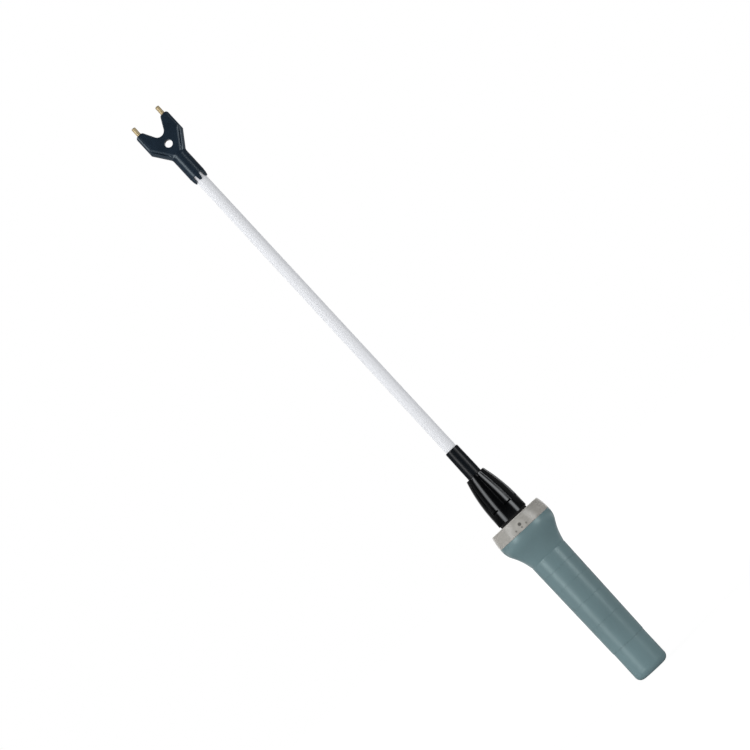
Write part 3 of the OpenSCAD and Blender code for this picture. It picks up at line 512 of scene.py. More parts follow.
# Plain moulded finishes: name, colour, roughness, grain to a metre, the grain's depth in metres, mottle.
PLAIN_FINISHES = {
    "inner_plastic": ("natural nylon", (0.60, 0.58, 0.52), 0.45, 1600.0, 0.000004, 0.06),
    "hub_plastic": ("black hub plastic", (0.014, 0.015, 0.017), 0.42, 2000.0, 0.000004, 0.15),
    "button_plastic": ("red plastic", (0.42, 0.020, 0.015), 0.30, 2600.0, 0.000002, 0.08),
    "ferrite": ("dark ferrite", (0.020, 0.020, 0.022), 0.60, 5000.0, 0.000008, 0.25),
    "component_case": ("component case", (0.012, 0.022, 0.060), 0.35, 3000.0, 0.000002, 0.1),
    "wire_red": ("red wire sleeve", (0.30, 0.016, 0.012), 0.45, 1500.0, 0.000003, 0.1),
    "wire_black": ("black wire sleeve", (0.010, 0.010, 0.011), 0.45, 1500.0, 0.000003, 0.1),
}
MATERIALS = {}


def make_materials(colours):
    """Makes every finish once and keeps it by the name of its slot."""
    MATERIALS.update({
        "grip_plastic": grip_finish(colours.grip),
        "head_plastic": head_finish(colours.head),
        "nut_plastic": nut_finish(colours.nut),
        "sleeve_plastic": moulded("satin black plastic", colours.sleeve, roughness=0.30, grain=2400.0,
                                  depth=0.000003, mottle=0.12, Specular_IOR_Level=0.25).material,
        "fibreglass": tube_finish(colours.tube),
        "clear_plastic": ring_finish(colours.ring),
        "brass": brass_finish(colours.brass),
        "seal_rubber": clouded("seal rubber", cloud=(300.0, 5.0), edges=(0.4, 0.75), roughness=(0.7, 0.15),
                               shades=((0.006, 0.006, 0.0065), (0.016, 0.016, 0.016)),
                               grain=(3500.0, 3.0), depth=0.000006, Specular_IOR_Level=0.3),
        "steel": steel_finish(),
        "board_laminate": board_finish(),
        "copper": clouded("enamelled copper", cloud=(700.0, 4.0), roughness=(0.28, 0.12),
                          shades=((0.36, 0.13, 0.05), (0.50, 0.20, 0.085)),
                          grain=(2600.0, 2.0), depth=0.000002, Metallic=0.9, Coat_Weight=0.5),
        "lamp": clouded("tinted lamp", cloud=(500.0, 3.0), roughness=(0.15, 0.1),
                        shades=((0.10, 0.02, 0.015), (0.16, 0.035, 0.025)),
                        grain=(900.0, 2.0), depth=0.000002, Transmission_Weight=0.35, IOR=1.5),
    })
    for slot, values in PLAIN_FINISHES.items():
        MATERIALS[slot] = moulded(*values).material


def paint(slot, *nodes):
    """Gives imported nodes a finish."""
    for node in nodes:
        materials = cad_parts[node].data.materials
        materials.clear()
        materials.append(MATERIALS[slot])


def mesh_object(name, points, edges=(), faces=()):
    """An object in the scene, made from points in millimetres."""
    mesh = bpy.data.meshes.new(name)
    mesh.from_pydata((np.asarray(points) * MM).tolist(), edges, [list(face) for face in faces])
    obj = bpy.data.objects.new(name, mesh)
    bpy.context.scene.collection.objects.link(obj)
    return obj


def blank(name, points, faces, sharp=40.0):
    """A smooth object whose edges over an angle in degrees are sharp."""
    obj = mesh_object(name, points, faces=faces)
    obj.data.validate()
    obj.data.polygons.foreach_set("use_smooth", [True] * len(obj.data.polygons))
    obj.data.set_sharp_from_angle(angle=math.radians(sharp))
    return obj


def dress(obj, slot, body, replaced=(), material=None):
    """Gives a piece its finish and its body, and hides the nodes that it stands for."""
    obj.data.materials.clear()
    obj.data.materials.append(material or MATERIALS[slot])
    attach(obj, body)
    if replaced:
        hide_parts(*replaced)


def arc(centre, radius, start, end, steps):
    """Points along an arc, angles in degrees, each with no further rounding."""
    turns = np.radians(np.linspace(start, end, steps + 1))
    return [(centre[0] + radius * math.cos(t), centre[1] + radius * math.sin(t), SHARP) for t in turns]


def rounded(corners, closed):
    """A profile with its corners rounded; a corner is its reach, its height and its radius."""
    step_degrees = 9.0
    nearly_straight = math.radians(88.0)
    run_share = 0.48
    out = []
    count = len(corners)
    for i, (x, z, radius) in enumerate(corners):
        here = np.array([x, z])
        inner = closed or 0 < i < count - 1
        if radius <= 0.0 or not inner:
            out.append(here)
            continue
        back = np.array(corners[i - 1][:2]) - here
        ahead = np.array(corners[(i + 1) % count][:2]) - here
        back_length = np.linalg.norm(back)
        ahead_length = np.linalg.norm(ahead)
        back = back / back_length
        ahead = ahead / ahead_length
        half = math.acos(max(-1.0, min(1.0, float(back @ ahead)))) / 2.0
        if half > nearly_straight:
            out.append(here)
            continue
        run = min(radius / math.tan(half), run_share * back_length, run_share * ahead_length)
        middle = (back + ahead) / np.linalg.norm(back + ahead)
        centre = here + middle * run / math.cos(half)
        first = here + back * run - centre
        last = here + ahead * run - centre
        start = math.atan2(first[1], first[0])
        sweep = (math.atan2(last[1], last[0]) - start + math.pi) % (2.0 * math.pi) - math.pi
        steps = max(2, int(math.ceil(abs(math.degrees(sweep)) / step_degrees)))
        size = np.linalg.norm(first)
        for k in range(steps + 1):
            t = start + sweep * k / steps
            out.append(centre + size * np.array([math.cos(t), math.sin(t)]))
    return np.array(out)


def braced(profile, closed):
    """A profile with points added near the ends of its long runs, so that shading stays true along them."""
    long_run = 1.2
    inset = 0.3
    out = []
    for i, here in enumerate(profile):
        out.append(here)
        if i == len(profile) - 1 and not closed:
            break
        ahead = profile[(i + 1) % len(profile)] - here
        run = np.linalg.norm(ahead)
        if run > long_run:
            out += [here + ahead * inset / run, here + ahead * (1.0 - inset / run)]
    return np.array(out)


def even_turns(sides):
    """Angles of evenly spaced rows of points, the first one at the front."""
    return 2.0 * math.pi * np.arange(sides) / sides - math.pi / 2.0


def revolve(profile, closed, turns):
    """Points and faces of a profile turned round the Z axis; an open profile starts and ends on the axis."""
    sides = len(turns)
    points = []
    rows = []
    for x, z in profile:
        if x < 1e-9:
            rows.append([len(points)] * sides)
            points.append((0.0, 0.0, z))
        else:
            rows.append(list(range(len(points), len(points) + sides)))
            points.extend(zip(x * np.cos(turns), x * np.sin(turns), np.full(sides, z)))
    faces = []
    for j in range(len(rows) if closed else len(rows) - 1):
        lower = rows[j]
        upper = rows[(j + 1) % len(rows)]
        for i in range(sides):
            k = (i + 1) % sides
            ring = [lower[i], lower[k], upper[k], upper[i]]
            faces.append(list(dict.fromkeys(ring)))
    return np.array(points, float), faces


def turned(name, corners, closed, slot, body, replaced, sides, sharp=30.0, across=0.0, material=None):
    """A turned piece from the corners of its profile, its axis at a place across the tool."""
    points, faces = revolve(braced(rounded(corners, closed), closed), closed, even_turns(sides))
    points[:, 0] += across
    dress(blank(name, points, faces, sharp), slot, body, replaced, material)


def geometry_tree(name, inputs):
    """A geometry node tree with named inputs, listed by their kind; gives the tree and its input wires."""
    tree = bpy.data.node_groups.new(name, "GeometryNodeTree")
    tree.interface.new_socket("Geometry", in_out="OUTPUT", socket_type="NodeSocketGeometry")
    for kind, labels in {"Geometry": ("Geometry",), **inputs}.items():
        for label in labels:
            tree.interface.new_socket(label, in_out="INPUT", socket_type="NodeSocket" + kind)
    entry = tree.nodes.new("NodeGroupInput")
    wires = {socket.name: Wire(tree, socket) for socket in entry.outputs if socket.name}
    return tree, wires


def close_tree(tree, geometry, material):
    """Ends a tree with real geometry that carries its material."""
    real = Wire.add(tree, "GeometryNodeRealizeInstances", {"Geometry": geometry})
    smooth = Wire.add(tree, "GeometryNodeSetShadeSmooth", {"Geometry": real})
    done = Wire.add(tree, "GeometryNodeSetMaterial", {"Geometry": smooth, "Material": material})
    leave = tree.nodes.new("NodeGroupOutput")
    tree.links.new(done.socket, leave.inputs[0])


def apply_tree(obj, tree, values, sharp=40.0):
    """Runs a tree on an object and keeps the result as its plain mesh."""
    modifier = obj.modifiers.new(tree.name, "NODES")
    modifier.node_group = tree
    for item in tree.interface.items_tree:
        if item.in_out == "INPUT" and item.name in values:
            modifier[item.identifier] = values[item.name]
    graph = bpy.context.evaluated_depsgraph_get()
    obj.data = bpy.data.meshes.new_from_object(obj.evaluated_get(graph))
    obj.modifiers.clear()
    obj.data.set_sharp_from_angle(angle=math.radians(sharp))


def path_object(name, points):
    """A bare object whose points, in millimetres, are joined in a row."""
    return mesh_object(name, points, [(i, i + 1) for i in range(len(points) - 1)])


def wire_tree(name, material):
    """Round wire that follows the object's own row of points, its bends eased."""
    tree, wires = geometry_tree(name, {"Float": ("Wire Radius", "Bend Radius"), "Int": ("Sides",)})
    route = Wire.add(tree, "GeometryNodeMeshToCurve", {"Mesh": wires["Geometry"]})
    eased = Wire.add(tree, "GeometryNodeFilletCurve", {
        "Curve": route, "Count": 8, "Radius": wires["Bend Radius"], "Limit Radius": True}, mode="POLY")
    section = Wire.add(tree, "GeometryNodeCurvePrimitiveCircle", {
        "Resolution": wires["Sides"], "Radius": wires["Wire Radius"]})
    tube = Wire.add(tree, "GeometryNodeCurveToMesh", {
        "Curve": eased, "Profile Curve": section, "Fill Caps": True})
    close_tree(tree, tube, material)
    return tree


def wire_piece(name, points, radius, slot, body, replaced, sides=12, bend=0.0):
    """A wire along a row of points, with its sizes in millimetres."""
    obj = path_object(name, points)
    apply_tree(obj, wire_tree(name + " path", MATERIALS[slot]),
               {"Wire Radius": radius * MM, "Bend Radius": bend * MM, "Sides": sides})
    dress(obj, slot, body, replaced)
    return obj


def coil_points(low_radius, top_radius, bottom, top, turns):
    """Points of a coil whose end turns lie close, in millimetres."""
    closeness = 0.7
    steps = 40
    share = np.linspace(0.0, 1.0, turns * steps + 1)
    rise = share - closeness * np.sin(2.0 * math.pi * share) / (2.0 * math.pi)
    around = 2.0 * math.pi * turns * share
    size = low_radius + (top_radius - low_radius) * share
    return np.stack([size * np.cos(around), size * np.sin(around), bottom + (top - bottom) * rise], axis=1)


def thread_piece(name, mm, radius, depth, bottom, top, slot):
    """A thread's ridge: a diamond section, half sunk, that climbs round a cylinder and fades at its ends."""
    tree, wires = geometry_tree(name + " ridge", {
        "Float": ("Radius", "Pitch", "Turns", "Depth", "Half Height", "Start")})
    spiral = Wire.add(tree, "GeometryNodeCurveSpiral", {
        "Resolution": 96, "Rotations": wires["Turns"], "Start Radius": wires["Radius"],
        "End Radius": wires["Radius"], "Height": wires["Pitch"] * wires["Turns"]})
    section = Wire.add(tree, "GeometryNodeCurvePrimitiveCircle", {
        "Resolution": 4, "Radius": wires["Half Height"]})
    flat = Wire.add(tree, "ShaderNodeCombineXYZ", {
        "X": wires["Depth"] / wires["Half Height"], "Y": 1.0, "Z": 1.0})
    shaped = Wire.add(tree, "GeometryNodeTransform", {"Geometry": section, "Scale": flat})
    place = Wire.add(tree, "GeometryNodeSplineParameter")
    fade = place.ramp(0.0, 0.04) * (1.0 - place.ramp(0.96, 1.0))
    sized = Wire.add(tree, "GeometryNodeSetCurveRadius", {"Curve": spiral, "Radius": fade * 0.9 + 0.1})
    upright = Wire.add(tree, "GeometryNodeSetCurveNormal", {"Curve": sized}, mode="Z_UP")
    ridge = Wire.add(tree, "GeometryNodeCurveToMesh", {
        "Curve": upright, "Profile Curve": shaped, "Fill Caps": True})
    lift = Wire.add(tree, "ShaderNodeCombineXYZ", {"Z": wires["Start"]})
    moved = Wire.add(tree, "GeometryNodeTransform", {"Geometry": ridge, "Translation": lift})
    close_tree(tree, moved, MATERIALS[slot])
    obj = path_object(name, [(0.0, 0.0, 0.0)])
    pitch = mm.thread_pitch
    apply_tree(obj, tree, {
        "Radius": (radius - mm.thread_sink) * MM, "Pitch": pitch * MM, "Turns": (top - bottom) / pitch,
        "Depth": depth * MM, "Half Height": mm.thread_height * MM, "Start": bottom * MM}, 25.0)
    dress(obj, slot, "handle")


def soft_max(first, second, ease):
    """The larger of two distances, eased where they are close."""
    near = np.maximum(ease - np.abs(first - second), 0.0) / ease
    return np.maximum(first, second) + near * near * ease / 4.0


def soft_min(first, second, ease):
    """The smaller of two distances, eased where they are close."""
    return -soft_max(-first, -second, ease)


def fork_edge(mm):
    """Right-hand edge of the fork, from the notch's bottom round the arm to the stem, in X and Z."""
    lean = 28.0
    corner = 3.0
    outer = 3.2
    drop = 4.0
    across = math.cos(math.radians(lean))
    along = math.sin(math.radians(lean))
    centre_z = mm.notch_z + mm.notch_radius
    touch_x = mm.notch_radius * across
    touch_z = centre_z - mm.notch_radius * along
    corner_z = mm.arm_end - corner
    run = (corner_z - touch_z + corner * along) / across
    corner_x = touch_x + run * along + corner * across
    slope = (mm.shoulder_top - mm.shoulder_z) / (mm.arm_half - mm.stem_radius)
    edge = arc((0.0, centre_z), mm.notch_radius, -90.0, -lean, 8)
    edge += arc((corner_x, corner_z), corner, 180.0 - lean, 90.0, 5)
    edge += arc((mm.arm_half - outer, mm.arm_end - outer), outer, 90.0, 0.0, 6)
    points = [(x, z) for x, z, rounding in edge]
    return points + [(mm.arm_half, mm.shoulder_top), (mm.stem_radius - drop, mm.shoulder_z - drop * slope)]


def edge_distance(edge, x, z):
    """Signed distance from an outline that is symmetric about x = 0, negative inside."""
    side = np.abs(x)
    nearest = np.full(side.shape, 1e9)
    inside = np.zeros(side.shape, bool)
    chain = list(edge) + [(0.0, edge[-1][1]), (0.0, edge[0][1])]
    for i in range(len(chain) - 1):
        (ax, az), (bx, bz) = chain[i], chain[i + 1]
        if i < len(edge) - 1:
            dx, dz = bx - ax, bz - az
            share = np.clip(((side - ax) * dx + (z - az) * dz) / (dx * dx + dz * dz), 0.0, 1.0)
            gap = (side - ax - share * dx) ** 2 + (z - az - share * dz) ** 2
            nearest = np.minimum(nearest, gap)
        if az != bz:
            crosses = (az > z) != (bz > z)
            inside ^= crosses & (side < ax + (z - az) / (bz - az) * (bx - ax))
    return np.where(inside, -1.0, 1.0) * np.sqrt(nearest)


def plate_distance(mm, edge, x, y, z):
    """Signed distance of the fork's plate, whose faces fall away towards the edges of arms and shoulders."""
    slant = 0.8
    face = np.abs(y) - mm.face_depth
    side = np.abs(x)
    plate = soft_max(edge_distance(edge, x, z), face, 0.9)
    arm_inset = [-5.0, -3.0, -1.6, -0.8, -0.3, 0.0]
    arm_fall = np.interp(side - mm.arm_half, arm_inset, [0.0, 0.35, 0.85, 1.5, 2.4, 3.4])
    plate = np.maximum(plate, slant * (face + arm_fall))
    run = np.array([mm.arm_half - mm.stem_radius, mm.shoulder_top - mm.shoulder_z])
    run = run / np.linalg.norm(run)
    outside = (side - mm.arm_half) * run[1] - (z - mm.shoulder_top) * run[0]
    shoulder_inset = [-6.6, -4.6, -3.2, -2.3, -1.2, -0.4, 0.0]
    shoulder_fall = np.interp(outside, shoulder_inset, [0.0, 0.75, 1.15, 1.7, 2.7, 4.2, 5.2])
    arm_fade = np.clip((mm.arm_half - 1.8 - side) / 2.5, 0.0, 1.0)
    stem_fade = np.clip((side - mm.stem_radius + 1.5) / 2.0, 0.0, 1.0)
    groove = arm_fade * stem_fade * np.interp(outside, [-4.6, -4.1, -3.8, -3.2], [0.0, 1.3, 1.3, 0.0])
    return np.maximum(plate, slant * (face + shoulder_fall + groove))


def stem_distance(mm, radius, z):
    """Signed distance of the round stem, drawn in at its foot and where it runs into the plate."""
    taper = 5.0
    run_in = 6.0
    ease = 0.7
    profile = np.interp(z, [mm.stem_end, mm.stem_end + taper, mm.shoulder_z, mm.shoulder_z + run_in],
                        [mm.stem_radius - 0.9, mm.stem_radius, mm.stem_radius, mm.stem_radius - 1.92])
    stem = soft_max(radius - profile, mm.stem_end - z, ease)
    return soft_max(stem, z - mm.shoulder_z - run_in, ease)


def head_distance(mm, edge, x, y, z):
    """Signed distance of the whole head, both shells together, with its teeth, hole and seats."""
    radius = np.hypot(x, y)
    solid = soft_min(plate_distance(mm, edge, x, y, z), stem_distance(mm, radius, z), 1.2)
    tube_foot, tube_top = ends("shaft_tube")
    tube = mm.tube_low + (mm.tube_high - mm.tube_low) * (z - tube_foot) / (tube_top - tube_foot)
    solid = soft_max(solid, -np.maximum(radius - tube - mm.tube_room, z - tube_top), 0.25)
    teeth = 6
    half_gap = mm.tooth_gap / 2.0
    gap_top = mm.stem_end + mm.tooth_depth - half_gap
    flare = 2.2
    lower = np.clip(mm.stem_end + flare - z, 0.0, flare)
    widening = flare - np.sqrt(flare ** 2 - lower ** 2)
    for i in range(teeth):
        turn = math.radians(360.0 / teeth * (i + 0.5) - 90.0)
        outward = x * math.cos(turn) + y * math.sin(turn)
        along = y * math.cos(turn) - x * math.sin(turn)
        gap = np.hypot(along, np.maximum(z - gap_top, 0.0)) - half_gap - widening
        solid = soft_max(solid, -np.maximum(gap, -outward), 0.5)
    solid = soft_max(solid, mm.hole_radius - np.hypot(x, z - mm.hole_z), 0.4)
    seat = np.hypot(np.abs(x) - mm.electrode_x, y) - mm.electrode_radius - mm.electrode_room
    return soft_max(solid, -np.maximum(seat, mm.arm_end - mm.electrode_seat - z), 0.4)


def shell_distance(mm, edge, front, x, y, z):
    """Signed distance of one shell of the head; the back one has room for the screws' heads."""
    solid = head_distance(mm, edge, x, y, z)
    parting = 0.03
    if front:
        return soft_max(solid, y + parting, 0.5)
    solid = soft_max(solid, parting - y, 0.5)
    for place_x, place_z in screw_places("head_screws"):
        across = np.hypot(x - place_x, z - place_z) - mm.screw_room
        solid = soft_max(solid, -np.maximum(across, mm.face_depth - mm.screw_sink - y), 0.3)
    return solid


def screw_places(node):
    """Middles of a node's separate screws across Y, in millimetres."""
    head_width = 6.0
    corners = [vertex.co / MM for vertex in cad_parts[node].data.vertices]
    screws = []
    for x, z in sorted({(round(corner.x, 1), round(corner.z, 1)) for corner in corners}):
        for screw in screws:
            if math.hypot(x - screw[0][0], z - screw[0][1]) < head_width:
                screw.append((x, z))
                break
        else:
            screws.append([(x, z)])
    return [(np.min(screw, axis=0) + np.max(screw, axis=0)) / 2.0 for screw in screws]


def surface_net(field, corner, step):
    """Points and outward quads on the zero surface of a field sampled on a grid."""
    inside = field < 0.0
    cells = tuple(size - 1 for size in field.shape)
    total = np.zeros(cells + (3,))
    count = np.zeros(cells)
    for first in np.ndindex(2, 2, 2):
        for axis in range(3):
            if first[axis]:
                continue
            second = np.array(first)
            second[axis] = 1
            here = tuple(slice(f, f + size) for f, size in zip(first, cells))
            there = tuple(slice(t, t + size) for t, size in zip(second, cells))
            crossing = inside[here] != inside[there]
            gap = field[here] - field[there]
            share = np.where(crossing, field[here] / np.where(gap == 0.0, 1.0, gap), 0.0)
            for k in range(3):
                total[..., k] += np.where(crossing, first[k] + (share if k == axis else 0.0), 0.0)
            count += crossing
    active = count > 0
    label = np.full(cells, -1)
    label[active] = np.arange(active.sum())
    points = np.argwhere(active) + total[active] / count[active][:, None]
    faces = []
    for axis in range(3):
        lower = [slice(1, size - 1) for size in field.shape]
        upper = list(lower)
        lower[axis] = slice(0, field.shape[axis] - 1)
        upper[axis] = slice(1, field.shape[axis])
        crossing = np.argwhere(inside[tuple(lower)] != inside[tuple(upper)])
        spots = crossing + np.array([part.start for part in lower])
        step_u = np.eye(3, dtype=int)[(axis + 1) % 3]
        step_v = np.eye(3, dtype=int)[(axis + 2) % 3]
        quad = np.stack([label[tuple((spots - step_u - step_v).T)], label[tuple((spots - step_v).T)],
                         label[tuple(spots.T)], label[tuple((spots - step_u).T)]], axis=1)
        outward = inside[tuple(spots.T)]
        faces.append(np.where(outward[:, None], quad, quad[:, ::-1]))
    return corner + points * step, np.concatenate(faces)


def shell_mesh(mm, front):
    """Points, faces and edge sharpness of one shell, settled on its true surface."""
    edge = fork_edge(mm)

    def distance(spots):
        return shell_distance(mm, edge, front, *spots.T)

    step = mm.voxel
    margin = 3.0 * step
    deep = mm.face_depth + 1.0
    lowest = np.array([-mm.arm_half, -deep if front else 0.0, mm.stem_end]) - margin
    highest = np.array([mm.arm_half, 0.0 if front else deep, mm.arm_end]) + margin
    grid = [np.arange(a, b, step) for a, b in zip(lowest, highest)]
    x, y, z = np.meshgrid(*grid, indexing="ij")
    points, faces = surface_net(shell_distance(mm, edge, front, x, y, z), lowest, step)
    passes = 5
    nudge = 0.06
    flattest = 0.05
    longest = 0.2
    for _ in range(passes):
        here = distance(points)
        slope = np.stack([distance(points + nudge * way) - distance(points - nudge * way)
                          for way in np.eye(3)], axis=1) / (2.0 * nudge)
        size = np.maximum((slope * slope).sum(1), flattest)
        points = points - slope * np.clip(here / size, -longest, longest)[:, None]
    wide = 0.35
    bend = sum(distance(points + wide * way) + distance(points - wide * way) for way in np.eye(3))
    sharpness = np.clip((bend - 6.0 * distance(points)) / (wide * wide) * 0.5, 0.0, 1.0)
    return points, faces, sharpness


class PROD_OT_head(bpy.types.Operator):
    """Builds the two moulded shells of the forked head"""
    bl_idname = "prod.head"
    bl_label = "Forked head"

    def execute(self, context):
        mm = Millimetres(context.scene.prod_shaft)
        for name in ("head_front", "head_back"):
            points, faces, sharpness = shell_mesh(mm, name == "head_front")
            obj = blank(name, points, faces, sharp=70.0)
            dress(obj, "head_plastic", "shaft", (name + "_shell",))
            mark = obj.data.attributes.new("edge", "FLOAT", "POINT")
            mark.data.foreach_set("value", sharpness.astype(np.float32))
        return {"FINISHED"}


class PROD_OT_electrodes(bpy.types.Operator):
    """Turns the two brass electrodes with their collars"""
    bl_idname = "prod.electrodes"
    bl_label = "Electrodes"

    def execute(self, context):
        mm = Millimetres(context.scene.prod_shaft)
        r = mm.electrode_radius
        collar = r + mm.electrode_collar
        for side, node in ((-1.0, "electrode_left"), (1.0, "electrode_right")):
            foot, tip = ends(node)
            collar_low = foot + 7.0
            collar_top = foot + 10.0
            corners = [(0.0, foot, SHARP), (r, foot, 0.4), (r, collar_low, HAIR), (collar, collar_low, SOFT),
                       (collar, collar_top, SOFT), (r, collar_top, HAIR), (r, tip - 4.0, SHARP),
                       (r, tip, 1.5), (0.0, tip, SHARP)]
            turned(node.replace("electrode", "prong"), corners, False, "brass", "shaft", (node,), sides=48,
                   across=side * mm.electrode_x)
        return {"FINISHED"}


class PROD_OT_shaft(bpy.types.Operator):
    """Turns the glass-fibre tube and its black sleeve, and finishes the foot inside the neck"""
    bl_idname = "prod.shaft"
    bl_label = "Shaft"

    def execute(self, context):
        mm = Millimetres(context.scene.prod_shaft)
        foot, top = ends("shaft_tube")
        tube = [(mm.tube_bore, foot, FINE), (mm.tube_low, foot, SOFT),
                (mm.tube_high, top, SOFT), (mm.tube_bore, top, FINE)]
        turned("white_tube", tube, True, "fibreglass", "shaft", ("shaft_tube",), sides=96, sharp=40.0)
        end = high("shaft_sleeve")
        straight = high("collar_nut") + 10.0
        fit = 0.05
        inner_low = mm.tube_low + fit
        inner_top = mm.tube_low + (mm.tube_high - mm.tube_low) * (end - foot) / (top - foot) + fit
        sleeve = [(inner_low, foot, HAIR), (mm.sleeve_radius, foot, SOFT),
                  (mm.sleeve_radius, straight, SHARP), (mm.sleeve_top, end, 0.6), (inner_top, end, FINE)]
        turned("black_sleeve", sleeve, True, "sleeve_plastic", "shaft", ("shaft_sleeve",), sides=96,
               sharp=40.0)
        paint("inner_plastic", "plunger_foot")
        paint("brass", "contact_pins")
        return {"FINISHED"}


def flare_profile(mm, rim, bell):
    """The flare and the bell: two arcs that meet at the steepest lean."""
    lean = mm.group.flare_lean
    bell_z = rim - mm.bell_straight
    bend_z = bell_z - mm.bell_shoulder * math.sin(lean)
    bend_x = bell - mm.bell_shoulder * (1.0 - math.cos(lean))
    start = 2.0 * math.atan2(bend_x - mm.barrel_top, bend_z - mm.barrel_top_z) - lean
    radius = (bend_z - mm.barrel_top_z) / (math.sin(lean) - math.sin(start))
    centre = (mm.barrel_top + radius * math.cos(start), mm.barrel_top_z - radius * math.sin(start))
    lower = arc(centre, radius, 180.0 - math.degrees(start), 180.0 - math.degrees(lean), 24)
    upper = arc((bell - mm.bell_shoulder, bell_z), mm.bell_shoulder, -math.degrees(lean), 0.0, 20)
    return lower + upper[1:]


class PROD_OT_handle(bpy.types.Operator):
    """Turns the grip with its ring lines and flared bell, the end cap and the thread between them"""
    bl_idname = "prod.handle"
    bl_label = "Handle"
    line_shares = (0.732, 0.504, 0.303, 0.14)
    sides = 192

    def execute(self, context):
        mm = Millimetres(context.scene.prod_handle)
        self.grip(mm)
        self.cap(mm)
        paint("seal_rubber", "cap_gasket")
        return {"FINISHED"}

    def grip(self, mm):
        """The barrel with spigot, ring lines, flare and bores; a line's share is its way down the barrel."""
        foot, rim = ends("handle_shell")
        bell = reach("handle_shell")
        seam = high("cap_gasket")
        lip = high("end_cap") + mm.seam_gap
        gasket = reach("cap_gasket") + mm.gasket_room
        shape = [(mm.spigot_radius, foot, 0.4), (mm.spigot_radius, seam, FINE), (gasket, seam, SHARP),
                 (gasket, lip, SHARP), (mm.barrel_low, lip, 0.15)]
        half = mm.line_width / 2.0
        for share in self.line_shares:
            z = mm.barrel_top_z - (mm.barrel_top_z - seam) * share
            r = mm.barrel_top - (mm.barrel_top - mm.barrel_low) * share
            floor = r - mm.line_depth
            shape += [(r, z - half, 0.25), (floor, z - half * 0.3, HAIR), (floor, z + half * 0.3, HAIR),
                      (r, z + half, 0.25)]
        shape += [(mm.barrel_top, mm.barrel_top_z - 0.5, FINE),
                  (mm.barrel_top - mm.flare_step, mm.barrel_top_z, FINE)]
        shape += flare_profile(mm, rim, bell)[2:]
        shape += [(bell, rim, SOFT), (mm.mouth_radius, rim, SOFT), (mm.mouth_radius, mm.mouth_floor, SOFT),
                  (mm.ledge_radius, mm.mouth_floor, SOFT),
                  (mm.ledge_radius, mm.mouth_floor - mm.ledge_height, 0.5),
                  (mm.bay_radius, mm.barrel_top_z, 0.5), (mm.bay_radius, mm.bay_floor, FINE),
                  (mm.cell_bore, mm.bay_floor, SOFT), (mm.cell_bore, foot, SOFT)]
        turned("grip", shape, True, "grip_plastic", "handle", ("handle_shell",), self.sides)
        thread_piece("spigot_thread", mm, mm.spigot_radius, depth=0.30, bottom=foot + 2.0, top=seam - 3.0,
                     slot="grip_plastic")

    def cap(self, mm):
        """The cap, a cup whose lower edge is round."""
        r = reach("end_cap")
        top = high("end_cap")
        shape = [(0.0, 0.0, SHARP)] + arc((r - mm.cap_edge, mm.cap_edge), mm.cap_edge, -90.0, 0.0, 16)
        shape += [(r, top, 0.15), (mm.cap_bore, top, SOFT), (mm.cap_bore, mm.cap_floor, 0.6),
                  (0.0, mm.cap_floor, SHARP)]
        turned("screw_cap", shape, False, "grip_plastic", "cap", ("end_cap",), self.sides)


class PROD_OT_lamp_ring(bpy.types.Operator):
    """Turns the cloudy lamp ring and finishes the lamp behind it"""
    bl_idname = "prod.lamp_ring"
    bl_label = "Lamp ring"

    def execute(self, context):
        mm = Millimetres(context.scene.prod_collar)
        foot, top = ends("clear_ring")
        roof = top - mm.ring_roof
        rim = high("handle_shell")
        seat = rim + 0.05
        bell = reach("handle_shell")
        lip = context.scene.prod_handle.mouth_radius / MM - 0.2
        lean = math.asin((top - rim - mm.ring_edge) / mm.ring_side)
        edge = bell - mm.ring_side * (1.0 - math.cos(lean))
        bore = mm.neck_radius + 0.3
        shape = [(mm.ring_bore, foot, FINE), (lip, foot, SOFT), (lip, seat, HAIR), (bell - 0.15, seat, 0.25)]
        shape += arc((bell - mm.ring_side, rim), mm.ring_side, 0.8, math.degrees(lean), 10)
        shape += arc((edge - mm.ring_edge, top - mm.ring_edge), mm.ring_edge, math.degrees(lean), 90.0, 8)[1:]
        shape += [(bore, top, SOFT), (bore, roof, SOFT), (mm.ring_bore, roof, 1.0)]
        turned("lamp_ring", shape, True, "clear_plastic", "handle", ("clear_ring",), sides=192)
        paint("seal_rubber", "ring_seal")
        paint("inner_plastic", "led_holder")
        paint("lamp", "indicator_led")
        paint("steel", "led_leads")
        return {"FINISHED"}


